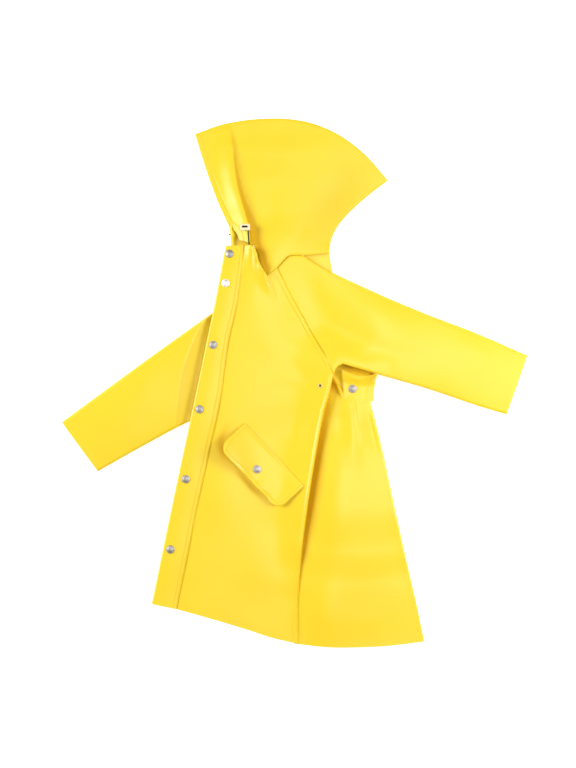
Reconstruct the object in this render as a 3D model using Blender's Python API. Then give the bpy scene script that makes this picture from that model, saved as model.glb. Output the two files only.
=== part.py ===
"""Child's hooded raincoat in coated cloth, laid out on its side.

The left front, left sleeve and left hood half lie on top, the right ones beneath them.
The coat's length runs along Y with the hood towards +Y, and Z is up from the surface it
lies on. Tables and heights are in millimetres, and meshes are made in metres.
"""
import math

import bmesh
import bpy
from mathutils import Matrix, Vector

MM = 0.001

# Cloth and seams
WALL = 1.2            # thickness of the coated cloth
PLACKET_WALL = 2.0    # the placket is cloth folded double
SEAM = 0.35           # each piece stops this far short of a seam
LIP_SEAM = 1.2        # and this far where its edge rolls down steeply
LIP = 3.0             # width of an edge that rolls down

# Heights of the middle of each layer above the surface
UNDER = WALL / 2      # right front, right half of the back, right hood half
SLEEVE_LAYERS = 2.2   # from a hidden sleeve's under layer to its upper layer
TURNED_EDGE = 2.4     # edge of the right front, turned back beneath the placket
PLACKET = 5.2
FRONT = 4.6           # left front and left hood half
BACK_UPPER = 3.6      # left half of the back
VALLEY = 2.4          # bottom of the deep folds
LEFT_SLEEVE_UNDER = 5.4
LEFT_SLEEVE_UPPER = 8.6
OVER_SLEEVE = 3.9     # how much the body lies higher where it covers the right sleeve
OVER_BELT = 1.55      # how much the back lies higher on the hidden half of the belt

# Hardware
SNAP_RADIUS = 6.6
SNAP_HEIGHT = 2.2
EYELET_RADIUS = 4.8
EYELET_HOLE = 2.0
CORD_RADIUS = 1.1
TOGGLE_SIZE = (15.0, 10.4, 5.6)
TOGGLE_BORE = 1.8
TOGGLE_SLOT = (9.0, 2.8, 2.4)
TOGGLE_CORD_OFFSET = 5.0
TOGGLE_LEVEL = 20.5   # height of its middle, on the hood's big fold

YELLOW = (0.95, 0.76, 0.06, 1.0)
STEEL = (0.72, 0.71, 0.72, 1.0)
CREAM = (0.86, 0.83, 0.72, 1.0)
DARK_CORD = (0.03, 0.02, 0.015, 1.0)

# Outline of the coat: smooth runs of (x, y), which meet at corners
HOOD_TIP = (-159.5, 397.5)
HOOD_PEAK = (148.5, 323.5)
HOOD_CROWN = [HOOD_TIP, (-119.0, 412.0), (-80.5, 419.6), (-42.0, 422.3), (-4.0, 420.8),
              (34.5, 412.2), (73.0, 394.2), (111.5, 364.8), HOOD_PEAK]
HOOD_CREST_SHARE = 0.162          # where the big fold starts along the crown
HOOD_FRONT_EDGE = [HOOD_TIP, (-150.0, 366.0), (-137.5, 328.0), (-123.0, 289.5), (-105.5, 251.0)]
HOOD_CHIN_EDGE = [(-105.5, 251.0), (-98.0, 245.0), (-92.5, 238.0), (-88.5, 227.5)]
HOOD_CHIN = [(-88.5, 227.5), (-80.0, 225.5), (-68.5, 220.5)]
HOOD_CREST = [(-99.5, 372.5), (-92.0, 324.5), (-82.5, 276.5), (-74.5, 244.5), (-68.5, 220.5)]
UNDER_HOOD_EDGE = [HOOD_TIP, (-149.5, 365.0), (-137.0, 327.0), (-122.5, 288.5), (-104.5, 249.0)]
UNDER_CHIN_EDGE = [(-104.5, 249.0), (-102.5, 236.0), (-101.5, 220.5)]
UNDER_CHIN = [(-101.5, 220.5), (-85.0, 221.0), (-68.5, 220.5)]
FRONT_CORNER = (-80.0, 219.5)
NECK_LOW = (-44.0, 171.5)
RAGLAN_TOP = (-28.5, 183.5)
SLEEVE_NECK = (-1.5, 203.5)
BACK_NECK = (13.0, 203.0)
NECK_BACK = (54.0, 206.5)
HOOD_BACK = [HOOD_PEAK, (123.5, 304.8), (100.5, 285.4), (80.8, 266.2), (66.2, 247.0),
             (57.8, 227.8), NECK_BACK]
FRONT_NECK = [FRONT_CORNER, (-72.5, 220.0), (-66.5, 218.0), (-61.5, 208.5), (-58.5, 196.5),
              (-52.5, 184.0), NECK_LOW]
SLEEVE_NECK_LINE = [RAGLAN_TOP, (-11.5, 201.0), SLEEVE_NECK, BACK_NECK]
RAGLAN = [RAGLAN_TOP, (-6.0, 138.0), (12.0, 106.0), (30.0, 72.5), (47.5, 43.5), (61.5, 14.5)]
SIDE = [(61.5, 14.5), (55.5, -14.5), (45.5, -50.0), (28.5, -144.5), (15.0, -235.5), (8.0, -297.0),
        (4.5, -345.0), (5.0, -416.8)]
BACK_RAGLAN = [BACK_NECK, (30.0, 150.0), (50.0, 80.0), (61.5, 14.5)]
PLACKET_INNER = [FRONT_CORNER, (-92.5, 126.0), (-106.0, 68.5), (-119.5, -27.0), (-154.0, -187.0),
                 (-189.0, -361.0)]
PLACKET_OUTER = [(-110.0, 218.5), (-126.0, 133.0), (-139.5, 68.5), (-159.5, -27.5),
                 (-194.0, -187.5), (-228.0, -353.0)]
FRONT_HEM = [(-189.0, -361.0), (-133.5, -376.6), (-76.5, -393.8), (-36.5, -407.0), (5.0, -416.8)]
BACK_HEM = [(5.0, -416.8), (39.5, -421.0), (75.5, -422.6), (143.0, -420.7), (206.5, -413.5)]
CENTRE_BACK = [NECK_BACK, (60.0, 176.5), (105.0, 80.0), (125.5, 18.0), (120.5, -8.0),
               (120.0, -30.0), (124.5, -46.0), (133.5, -81.0), (146.3, -138.0), (160.7, -205.5),
               (177.8, -283.0), (194.0, -353.5), (206.5, -413.5)]

LEFT_SLEEVE_TOP = [BACK_NECK, (39.5, 186.5), (60.0, 175.5), (142.0, 138.0), (214.5, 108.0),
                   (287.5, 80.0), (371.5, 43.5)]
ARMPIT = [(61.5, 14.5), (66.5, 25.0), (76.0, 30.5)]
LEFT_UNDERARM = [(76.0, 30.5), (104.0, 22.5), (133.5, 13.5), (214.5, -10.0), (291.5, -36.0),
                 (338.5, -50.0)]
LEFT_CUFF = [(371.5, 43.5), (338.5, -50.0)]
RIGHT_SLEEVE_TOP = [RAGLAN_TOP, (-129.0, 113.5), (-251.0, 26.0), (-372.0, -63.0)]
RIGHT_UNDERARM = [(61.5, 14.5), (-50.0, -9.0), (-165.5, -59.5), (-240.0, -99.0), (-315.0, -141.0)]
RIGHT_CUFF = [(-372.0, -63.0), (-315.0, -141.0)]

BELT_TOP = [(76.0, 20.0), (94.0, 11.0), (131.5, 13.0)]
BELT_BOTTOM = [(78.5, -30.5), (98.0, -31.5), (125.0, -29.0)]
BELT_END = [(76.0, 20.0), (77.5, -5.0), (78.5, -30.5)]
BELT_FOLD = [(131.5, 13.0), (126.0, -8.0), (125.0, -29.0)]

FLAP_TOP = ((-80.0, -64.0), (14.0, -164.0))     # ends of its sewn edge
FLAP_DEPTH = 56.0
FLAP_CORNER = 17.0

# Folds: share of the way down the fold, and its height
HOOD_FOLD = [(0.0, 0.6), (0.2, 3.5), (0.45, 6.5), (0.7, 9.5), (0.88, 12.0), (1.0, 12.0)]
NECK_FOLD = [(0.0, 3.0), (0.2, 9.0), (0.35, 11.5), (0.6, 10.0), (0.8, 3.0), (1.0, 0.5)]
SIDE_FOLD = [(0.0, 0.0), (0.25, 2.0), (0.33, 7.0), (0.45, 10.0), (0.62, 12.0), (0.76, 10.0),
             (0.86, 3.0), (0.92, 0.0), (1.0, 0.0)]
# Swell of the back: share of the way down, place of its crest across, and height
BACK_SWELL = [(0.0, 0.6, 0.0), (0.4, 0.6, 0.0), (0.47, 0.55, 5.0), (0.6, 0.52, 8.0),
              (0.8, 0.45, 7.0), (0.92, 0.35, 3.5), (1.0, 0.3, 1.0)]

# Snap caps: name, x, y and the piece that each is pressed on
SNAPS = [("snap_1", -104.5, 206.0, "placket"), ("snap_2", -110.5, 159.0, "placket"),
         ("snap_3", -130.5, 60.5, "placket"), ("snap_4", -152.0, -42.0, "placket"),
         ("snap_5", -174.0, -153.5, "placket"), ("snap_6", -198.5, -265.5, "placket"),
         ("snap_pocket", -60.5, -137.5, "flap"), ("snap_belt", 92.0, -9.5, "belt")]
EYELET_PLACE = (40.0, -4.5)
TOGGLE_PLACE = (-79.0, 247.5)
CORD_ROUTE = [(-73.0, 220.6, 10.5), (-73.0, 220.7, 14.8), (-73.1, 223.0, 18.8), (-73.4, 227.5, 20.2),
              (-74.0, 236.0, 20.5), (-74.0, 243.0, 20.5), (-74.0, 250.0, 20.5)]
MIDDLE = (-0.3, -0.085)     # middle of the coat's box in these tables; it is moved to the origin
CORD_STUB = [(-97.5, 238.5, 1.8), (-101.5, 238.0, 1.7), (-105.5, 237.0, 1.6)]


# ---------------------------------------------------------------- curves and patches

def smoothstep(value):
    """Rise softly from 0 to 1 while value goes from 0 to 1."""
    value = min(max(value, 0.0), 1.0)
    return value * value * (3.0 - 2.0 * value)


def lerp(start, end, share):
    return start + (end - start) * share


def read_row(table, share, column=1):
    """Read a column of a table whose first column is a share, softly between its rows."""
    for above, below in zip(table, table[1:]):
        if share <= below[0]:
            part = (share - above[0]) / (below[0] - above[0])
            return lerp(above[column], below[column], smoothstep(part))
    return table[-1][column]


def run(points):
    """A smooth curve through points, as a function of the share of its length."""
    spots = [Vector(point) for point in points]
    stops = [0.0]
    for start, end in zip(spots, spots[1:]):
        stops.append(stops[-1] + (end - start).length)
    slopes = []
    for index in range(len(spots)):
        before = max(index - 1, 0)
        after = min(index + 1, len(spots) - 1)
        slopes.append((spots[after] - spots[before]) / (stops[after] - stops[before]))

    def at(share):
        length = min(max(share, 0.0), 1.0) * stops[-1]
        index = 0
        while index < len(spots) - 2 and length > stops[index + 1]:
            index += 1
        gap = stops[index + 1] - stops[index]
        part = (length - stops[index]) / gap
        square, cube = part ** 2, part ** 3
        return (spots[index] * (2 * cube - 3 * square + 1)
                + slopes[index] * gap * (cube - 2 * square + part)
                + spots[index + 1] * (3 * square - 2 * cube)
                + slopes[index + 1] * gap * (cube - square))
    return at


def inward(points, middle, inset):
    """Points moved towards a middle point."""
    moved = []
    for x, y in points:
        towards = (Vector(middle) - Vector((x, y))).normalized()
        moved.append((x + towards.x * inset, y + towards.y * inset))
    return moved


def part_of(curve, first, last):
    return lambda share: curve(lerp(first, last, share))


def chain(*pieces):
    """Join curves end to end; each piece is (share at which it ends, curve)."""
    def at(share):
        first = 0.0
        for last, curve in pieces:
            if share <= last or last == pieces[-1][0]:
                return curve((share - first) / (last - first))
            first = last
    return at


def patch(top, right, bottom, left):
    """Fill four edges; the result gives the point for shares down and across."""
    def at(down, across):
        sides = left(down).lerp(right(down), across)
        ends = top(across).lerp(bottom(across), down)
        corners = left(0.0).lerp(right(0.0), across).lerp(left(1.0).lerp(right(1.0), across), down)
        return sides + ends - corners
    return at


def side_by_side(first, until, second, onwards):
    """Join two patches with a narrow strip between them."""
    def at(down, across):
        if across <= until:
            return first(down, across / until)
        if across >= onwards:
            return second(down, (across - onwards) / (1.0 - onwards))
        return first(down, 1.0).lerp(second(down, 0.0), (across - until) / (onwards - until))
    return at


def distance_outside(point, polygon):
    """Distance from a point to a polygon, 0 inside it."""
    inside = False
    nearest = math.inf
    for start, end in zip(polygon, polygon[1:] + polygon[:1]):
        along = end - start
        share = min(max((point - start).dot(along) / along.length_squared, 0.0), 1.0)
        nearest = min(nearest, (point - start - along * share).length)
        if (start.y > point.y) != (end.y > point.y):
            crossing = start.x + along.x * (point.y - start.y) / along.y
            inside ^= point.x < crossing
    return 0.0 if inside else nearest


def raised_over(polygon, height, margin, slope):
    """Height of cloth that lies over a hidden piece and falls off softly beside it."""
    def at(point):
        away = distance_outside(point, polygon)
        return height * (1.0 - smoothstep((away - margin) / slope))
    return at


# ---------------------------------------------------------------- outlines of the pieces

V_SHARE = 0.79          # share of the front's top edge at which the neckline is lowest
ARMPIT_SHARE = 0.32     # share of the way down the body at which the armpit lies
CREST_SHARE = 0.24      # share of the way across the hood at which its big fold lies
FOOT_SHARE = 0.255
NECK_SHARES = (0.30, 0.42, 0.66, 1.0)   # front, raglan, sleeve and back ends on the hood's neck

CROWN = run(HOOD_CROWN)
HOOD_MIDDLE = (0.0, 320.0)
CREST_LINE = run([tuple(CROWN(HOOD_CREST_SHARE))] + HOOD_CREST)
NECK_RUN = run(FRONT_NECK)


def foot_line(share):
    """The bottom of the big fold's steep side, just beside its crest."""
    return CREST_LINE(share) + Vector((lerp(0.8, LIP, smoothstep(share * 3.0)), 0.0))


def hood_outline(front_side, chin, inset=0.0):
    """The hood half: a strip in front of the big fold, then the main part."""
    crown = run([HOOD_TIP] + inward(HOOD_CROWN[1:], HOOD_MIDDLE, inset))
    strip = patch(top=part_of(crown, 0.0, HOOD_CREST_SHARE), right=CREST_LINE,
                  bottom=run(chin), left=front_side)
    foot_end = foot_line(1.0)
    neck = chain((NECK_SHARES[0], run([tuple(foot_end)] + FRONT_NECK[3:])),
                 (NECK_SHARES[1], run([NECK_LOW, RAGLAN_TOP])),
                 (NECK_SHARES[2], run(SLEEVE_NECK_LINE)),
                 (NECK_SHARES[3], run([BACK_NECK, NECK_BACK])))
    start = foot_line(0.0)
    crown_rest = part_of(crown, HOOD_CREST_SHARE, 1.0)
    first = start - crown_rest(0.0)
    main = patch(top=lambda share: crown_rest(share) + first * (1.0 - share),
                 right=run(inward(HOOD_BACK[:-1], HOOD_MIDDLE, inset) + [NECK_BACK]),
                 bottom=neck, left=foot_line)
    return side_by_side(strip, CREST_SHARE, main, FOOT_SHARE)


HOOD_LEFT = hood_outline(chain((0.86, run(HOOD_FRONT_EDGE)), (1.0, run(HOOD_CHIN_EDGE))),
                         HOOD_CHIN)
HOOD_RIGHT = hood_outline(chain((0.86, run(UNDER_HOOD_EDGE)), (1.0, run(UNDER_CHIN_EDGE))),
                          UNDER_CHIN, inset=1.5)

FRONT_LEFT = patch(top=chain((V_SHARE, NECK_RUN), (1.0, run([NECK_LOW, RAGLAN_TOP]))),
                   right=chain((ARMPIT_SHARE, run(RAGLAN)), (1.0, run(SIDE))),
                   bottom=run(FRONT_HEM), left=run(PLACKET_INNER))

RIGHT_FOLD = [(x + 2.0, y) for x, y in PLACKET_OUTER]
FRONT_RIGHT = patch(top=chain((0.3, run([RIGHT_FOLD[0], FRONT_CORNER])), (0.85, NECK_RUN),
                              (1.0, run([NECK_LOW, RAGLAN_TOP]))),
                    right=chain((ARMPIT_SHARE, run(RAGLAN)), (1.0, run(SIDE))),
                    bottom=chain((0.2, run([RIGHT_FOLD[-1], FRONT_HEM[0]])), (1.0, run(FRONT_HEM))),
                    left=run(RIGHT_FOLD))

BACK = patch(top=run([BACK_NECK, NECK_BACK]), right=run(CENTRE_BACK), bottom=run(BACK_HEM),
             left=chain((ARMPIT_SHARE, run(BACK_RAGLAN)), (1.0, run(SIDE))))

PLACKET_BAND = patch(top=run([PLACKET_OUTER[0], FRONT_CORNER]), right=run(PLACKET_INNER),
                     bottom=run([PLACKET_OUTER[-1], PLACKET_INNER[-1]]), left=run(PLACKET_OUTER))

SLEEVE_LEFT = patch(top=run(RAGLAN),
                    right=chain((0.055, run(ARMPIT)), (1.0, run(LEFT_UNDERARM))),
                    bottom=run(LEFT_CUFF),
                    left=chain((0.09, run(SLEEVE_NECK_LINE)), (1.0, run(LEFT_SLEEVE_TOP))))

SLEEVE_RIGHT = patch(top=run(BACK_RAGLAN), right=run(RIGHT_UNDERARM), bottom=run(RIGHT_CUFF),
                     left=chain((0.09, run(SLEEVE_NECK_LINE[::-1])), (1.0, run(RIGHT_SLEEVE_TOP))))

BELT = patch(top=run(BELT_TOP), right=run(BELT_FOLD), bottom=run(BELT_BOTTOM), left=run(BELT_END))


def ring_of(outline, steps=10):
    """The outline's four edges as one polygon."""
    edge = [outline(0.0, i / steps) for i in range(steps)]
    edge += [outline(i / steps, 1.0) for i in range(steps)]
    edge += [outline(1.0, 1.0 - i / steps) for i in range(steps)]
    return edge + [outline(1.0 - i / steps, 0.0) for i in range(steps)]


over_sleeve = raised_over(ring_of(SLEEVE_RIGHT), OVER_SLEEVE, 22.0, 32.0)
over_belt = raised_over(ring_of(BELT), OVER_BELT, 20.0, 26.0)


# ---------------------------------------------------------------- heights of the pieces

def roll(distance):
    """Share of a fold's height at a distance from its edge, which rolls down."""
    inward = min(max(distance / LIP, 0.0), 1.0)
    return math.sqrt(1.0 - (1.0 - inward) ** 2)


def front_left_height(point, down, across, side):
    """The left front rises to a fold along the neckline and along the side seam."""
    ground = FRONT + over_sleeve(point)
    width = (FRONT_LEFT(down, 1.0) - FRONT_LEFT(down, 0.0)).length
    from_side = width * (1.0 - across)
    side_fold = read_row(SIDE_FOLD, down) * (1.0 - smoothstep(from_side / 42.0))
    from_neck = (point - FRONT_LEFT(0.0, across)).length
    neck_fold = read_row(NECK_FOLD, across) * (1.0 - smoothstep(from_neck / 46.0))
    swell = 2.5 * math.sin(math.pi * min(across * 1.15, 1.0)) * smoothstep(down * 4.0)
    sunk = 0.9 * (1.0 - roll(from_side)) * smoothstep((down - ARMPIT_SHARE) * 12.0)
    return ground + side_fold * roll(from_side) + neck_fold * roll(from_neck) + swell - sunk


def front_right_height(point, down, across, side):
    turned = (TURNED_EDGE - UNDER) * (side + 1.0) / 2.0
    return UNDER + over_sleeve(point) + turned


def back_height(point, down, across, side):
    """The back is folded at its centre; its left half swells softly over the right half."""
    ground = over_belt(point)
    crest = read_row(BACK_SWELL, down, 1)
    place = across / crest if across < crest else (1.0 - across) / (1.0 - crest)
    swell = read_row(BACK_SWELL, down, 2) * smoothstep(place)
    upper = BACK_UPPER + swell
    return ground + lerp(UNDER, upper, (side + 1.0) / 2.0)


def placket_height(point, down, across, side):
    return PLACKET + over_sleeve(point)


def hood_left_height(point, down, across, side):
    """The hood's big fold drops steeply into a valley, then the cloth swells to the back."""
    ground = over_sleeve(point)
    fold = read_row(HOOD_FOLD, down)
    if across <= CREST_SHARE:
        return FRONT + ground + fold * smoothstep(0.3 + 0.7 * across / CREST_SHARE)
    far = (across - FOOT_SHARE) / (1.0 - FOOT_SHARE)
    far = max(far, 0.0)
    depth = (FRONT - VALLEY) * smoothstep(down * 5.0)
    climb = smoothstep(far * 3.2)
    edge = smoothstep(min((1.0 - far) * 5.0, down * 7.0))
    swell = 6.0 * math.sin(math.pi * min(far, 1.0)) * math.sin(math.pi * (0.1 + 0.85 * down))
    rim = VALLEY + ground - 0.2
    inner = FRONT - depth * (1.0 - climb) + ground + swell * climb
    neck_side = smoothstep((down - 0.9) * 10.0)
    return lerp(lerp(rim, inner, edge), inner, neck_side * smoothstep((1.0 - far) * 6.0))


def hood_right_height(point, down, across, side):
    """The right half lies flat, but for the hem at the chin, which holds the cord's end."""
    from_cord = (point - Vector(CORD_STUB[0][:2])).length
    return UNDER + over_sleeve(point) + 4.0 * (1.0 - smoothstep((from_cord - 7.0) / 14.0))


def sleeve_left_height(point, down, across, side):
    """The left sleeve comes down from the body to the surface and swells in its middle."""
    settled = smoothstep((down - 0.36) / 0.24)
    under = lerp(LEFT_SLEEVE_UNDER, UNDER, settled) + over_belt(point) * (1.0 - settled)
    layers = lerp(LEFT_SLEEVE_UPPER - LEFT_SLEEVE_UNDER, SLEEVE_LAYERS, settled)
    fullness = math.sin(math.pi * min(max(across, 0.0), 1.0)) ** 0.7
    swell = 7.5 * smoothstep(down * 2.6) * lerp(1.0, 0.45, smoothstep((down - 0.6) / 0.4))
    return under + (side + 1.0) / 2.0 * (layers + swell * fullness)


def sleeve_right_height(point, down, across, side):
    """The right sleeve is pressed flat under the body and swells where it comes out."""
    hidden_until = lerp(0.39, 0.63, across)
    out = smoothstep((down - hidden_until) / lerp(0.12, 0.2, across))
    fullness = math.sin(math.pi * min(max(across, 0.0), 1.0)) ** 0.7
    swell = 6.5 * out * lerp(1.0, 0.5, smoothstep((down - 0.8) / 0.2))
    return UNDER + (side + 1.0) / 2.0 * (SLEEVE_LAYERS + swell * fullness)


def flap_outline(down, across):
    """The pocket flap: a rectangle from its sewn edge, with its free corners rounded."""
    start, end = Vector(FLAP_TOP[0]), Vector(FLAP_TOP[1])
    along = (end - start).normalized()
    outward = Vector((along.y, -along.x))
    into_corner = max(FLAP_CORNER - FLAP_DEPTH * (1.0 - down), 0.0)
    inset = FLAP_CORNER - math.sqrt(FLAP_CORNER ** 2 - into_corner ** 2)
    length = (end - start).length
    return start + along * lerp(inset, length - inset, across) + outward * FLAP_DEPTH * down


def flap_height(point, down, across, side):
    """The flap follows the front, and its front corner stands up off it."""
    spot, normal = surface_spot(FRONT_LEFT, front_left_height, point)
    corner = 9.0 * down ** 1.6 * (1.0 - smoothstep(across / 0.55))
    wave = 2.6 * down ** 2 * (1.0 - smoothstep(abs(across - 0.66) / 0.2))
    return spot.z + WALL + SEAM + 0.45 + corner + wave


def belt_height(point, down, across, side):
    """The half belt lies around the back's fold, and its top edge stands off the cloth."""
    upper = BACK_UPPER + OVER_BELT + WALL + SEAM + 0.25
    stand = 3.0 * (1.0 - smoothstep(down * 1.6)) * smoothstep(across * 4.0)
    stand *= smoothstep((1.0 - across) * 5.0)
    return lerp(UNDER, upper + stand, (side + 1.0) / 2.0)


# ---------------------------------------------------------------- making the meshes

def material(name, colour, roughness, metallic=0.0):
    made = bpy.data.materials.new(name)
    made.use_nodes = True
    shader = made.node_tree.nodes["Principled BSDF"]
    shader.inputs["Base Color"].default_value = colour
    shader.inputs["Roughness"].default_value = roughness
    shader.inputs["Metallic"].default_value = metallic
    return made


def place_object(name, mesh, finish):
    node = bpy.data.objects.new(name, mesh)
    mesh.materials.append(finish)
    bpy.context.scene.collection.objects.link(node)
    return node


def single(shares):
    """One layer of cloth; a column is (share across, millimetres added, layer)."""
    return [(share, 0.0, 1.0) for share in shares]


def fold_at(share, inward, radius):
    """The round of a fold, from the upper layer to the under layer."""
    return [(share, inward * 0.3 * radius, 0.72), (share, 0.0, 0.0),
            (share, inward * 0.3 * radius, -0.72)]


def folded(upper, under, radius, at_right=True):
    """Two layers that are one cloth, folded at the left or right edge."""
    def inset(share):
        return -radius * share if at_right else radius * (1.0 - share)
    fold = fold_at(1.0, -1.0, radius) if at_right else fold_at(0.0, 1.0, radius)
    return ([(share, inset(share), 1.0) for share in upper] + fold
            + [(share, inset(share), -1.0) for share in under])


def tube(upper, under, radius):
    """Two layers joined by a fold at both edges."""
    def inset(share):
        return radius * (1.0 - 2.0 * share)
    return ([(share, inset(share), 1.0) for share in upper] + fold_at(1.0, -1.0, radius)
            + [(share, inset(share), -1.0) for share in under] + fold_at(0.0, 1.0, radius)[::-1])


def cloth(name, outline, height, rows, columns, finish, wall=WALL, closed=False, trim=(0, 0, 0, 0)):
    """Make a piece of cloth; trim is how far it stops short at its top, right, bottom, left."""
    top, right, bottom, left = trim
    mesh = bmesh.new()
    grid = []
    for down in rows:
        start, end = outline(down, 0.0), outline(down, 1.0)
        width = (end - start).length
        length = (outline(1.0, 0.5) - outline(0.0, 0.5)).length
        line = []
        for share, offset, side in columns:
            across = share + offset / width
            inner_across = lerp(left / width, 1.0 - right / width, across)
            inner_down = lerp(top / length, 1.0 - bottom / length, down)
            point = outline(inner_down, inner_across)
            level = height(point, down, across, side)
            line.append(mesh.verts.new((point.x * MM, point.y * MM, level * MM)))
        grid.append(line)
    for above, below in zip(grid, grid[1:]):
        pairs = list(zip(range(len(above)), range(1, len(above))))
        if closed:
            pairs.append((len(above) - 1, 0))
        for first, second in pairs:
            mesh.faces.new((above[first], below[first], below[second], above[second]))
    data = bpy.data.meshes.new(name)
    mesh.to_mesh(data)
    mesh.free()
    data.shade_smooth()
    node = place_object(name, data, finish)
    thicken = node.modifiers.new("wall", "SOLIDIFY")
    thicken.thickness = wall * MM
    thicken.offset = 0.0
    thicken.use_even_offset = True
    return node


def shares_at(outline, place):
    """Find the shares down and across at which an outline reaches a place."""
    goal = Vector(place)
    down = across = 0.5
    step = 0.25
    while step > 0.0002:
        around = [(down + step * i, across + step * j) for i in (-1, 0, 1) for j in (-1, 0, 1)]
        around = [(min(max(d, 0.0), 1.0), min(max(a, 0.0), 1.0)) for d, a in around]
        best = min(around, key=lambda spot: (outline(*spot) - goal).length)
        if best == (down, across):
            step /= 2.0
        down, across = best
    return down, across


def surface_spot(outline, height, place):
    """The surface at a place, and its normal."""
    down, across = shares_at(outline, place)
    ends = []
    for spot in ((down - 0.01, across), (down + 0.01, across), (down, across - 0.01),
                 (down, across + 0.01), (down, across)):
        flat = outline(*spot)
        ends.append(Vector((flat.x, flat.y, height(flat, *spot, 1.0))))
    normal = (ends[1] - ends[0]).cross(ends[3] - ends[2]).normalized()
    if normal.z < 0.0:
        normal.negate()
    return ends[4], normal


def stand_on(node, surface, place, radius):
    """Place a piece of hardware just clear of the cloth below it, turned to its slope."""
    outline, height, wall = surface
    spot, normal = surface_spot(outline, height, place)
    highest = 0.0
    for step in range(12):
        angle = math.radians(30.0 * step)
        beside = (place[0] + radius * math.cos(angle), place[1] + radius * math.sin(angle))
        around, slope = surface_spot(outline, height, beside)
        highest = max(highest, (around - spot).dot(normal))
    turn = normal.to_track_quat("Z", "Y").to_matrix().to_4x4()
    seat = spot + normal * (highest + wall / 2.0 + SEAM)
    node.matrix_world = Matrix.Translation(seat * MM) @ turn


def turned(name, profile, finish, steps=24):
    """Spin a closed profile of (radius, height) about Z; a radius of 0 lies on the axis."""
    mesh = bmesh.new()
    points = [mesh.verts.new((radius * MM, 0.0, level * MM)) for radius, level in profile]
    edges = [mesh.edges.new(pair) for pair in zip(points, points[1:])]
    if profile[0][0] > 0.0:
        edges.append(mesh.edges.new((points[-1], points[0])))
    bmesh.ops.spin(mesh, geom=points + edges, cent=(0, 0, 0), axis=(0, 0, 1), dvec=(0, 0, 0),
                   angle=2.0 * math.pi, steps=steps, use_merge=True)
    bmesh.ops.remove_doubles(mesh, verts=mesh.verts, dist=0.00001)
    bmesh.ops.recalc_face_normals(mesh, faces=mesh.faces)
    data = bpy.data.meshes.new(name)
    mesh.to_mesh(data)
    mesh.free()
    data.shade_smooth()
    return place_object(name, data, finish)


# ---------------------------------------------------------------- the coat's pieces

BODY_ROWS = (0.0, 0.006, 0.022, 0.05, 0.085, 0.12, 0.16, 0.2, 0.24, 0.28, ARMPIT_SHARE, 0.36, 0.4,
             0.44, 0.48, 0.52, 0.56, 0.61, 0.66, 0.71, 0.76, 0.81, 0.86, 0.93, 1.0)
FRONT_COLUMNS = (0.0, 0.1, 0.2, 0.3, 0.42, 0.54, 0.67, V_SHARE, 0.86, 0.92, 0.96, 0.985, 1.0)
BACK_COLUMNS = (0.0, 0.12, 0.25, 0.4, 0.55, 0.7, 0.85, 1.0)
UNDER_COLUMNS = (1.0, 0.8, 0.55, 0.3, 0.0)
SLEEVE_ROWS = (0.0, 0.055, 0.11, 0.18, 0.26, 0.34, 0.42, 0.5, 0.58, 0.68, 0.79, 0.9, 1.0)
SLEEVE_COLUMNS = (0.0, 0.14, 0.3, 0.47, 0.64, 0.82, 1.0)
HOOD_ROWS = (0.0, 0.025, 0.08, 0.16, 0.25, 0.34, 0.43, 0.52, 0.61, 0.7, 0.78, 0.86, 0.92, 0.97, 1.0)
HOOD_COLUMNS = (0.0, 0.06, 0.13, 0.19, CREST_SHARE, FOOT_SHARE, 0.3, 0.36, 0.44, 0.5, 0.58, 0.66,
                0.75, 0.84, 0.92, 0.97, 1.0)

UNDER_HOOD_ROWS = (0.0, 0.12, 0.3, 0.5, 0.7, 0.86, 0.93, 0.97, 1.0)
FLAP_ROWS = (0.0, 0.2, 0.45, 0.696, 0.8, 0.9, 0.97, 1.0)
FLAP_COLUMNS = (0.0, 0.12, 0.25, 0.4, 0.55, 0.7, 0.85, 1.0)
BELT_ROWS = (0.0, 0.2, 0.45, 0.72, 1.0)


def make_body(finish):
    shared = dict(finish=finish)
    cloth("front_left", FRONT_LEFT, front_left_height, BODY_ROWS, single(FRONT_COLUMNS),
          trim=(LIP_SEAM, LIP_SEAM, 0.0, SEAM), **shared)
    under = (0.0, 0.15, 0.3, 0.42, 0.54, 0.66, 0.76, 0.85, 1.0)
    turned_columns = folded((0.22, 0.0), under, 1.0, at_right=False)
    cloth("front_right", FRONT_RIGHT, front_right_height, BODY_ROWS, turned_columns,
          trim=(3.0 * SEAM, SEAM, 0.0, 0.0), **shared)
    cloth("back", BACK, back_height, BODY_ROWS, folded(BACK_COLUMNS, UNDER_COLUMNS, 1.5),
          trim=(SEAM, 0.0, 0.0, SEAM), **shared)
    cloth("placket", PLACKET_BAND, placket_height, BODY_ROWS, single((0.0, 0.5, 1.0)),
          wall=PLACKET_WALL, trim=(0.0, SEAM, 0.0, 0.0), **shared)


def make_sleeves(finish):
    backwards = SLEEVE_COLUMNS[::-2]
    cloth("sleeve_left", SLEEVE_LEFT, sleeve_left_height, SLEEVE_ROWS,
          tube(SLEEVE_COLUMNS, backwards, 1.4), finish, closed=True, trim=(SEAM, 0, 0, 0))
    cloth("sleeve_right", SLEEVE_RIGHT, sleeve_right_height, SLEEVE_ROWS,
          tube(SLEEVE_COLUMNS, backwards, 1.1), finish, closed=True, trim=(SEAM, 0, 0, 0))


def make_hood(finish):
    cloth("hood_left", HOOD_LEFT, hood_left_height, HOOD_ROWS, single(HOOD_COLUMNS), finish,
          trim=(0.0, 0.0, LIP_SEAM, 0.0))
    cloth("hood_right", HOOD_RIGHT, hood_right_height, UNDER_HOOD_ROWS, single(HOOD_COLUMNS), finish,
          trim=(0.0, 0.0, 2.0 * LIP_SEAM, 0.0))


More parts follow.
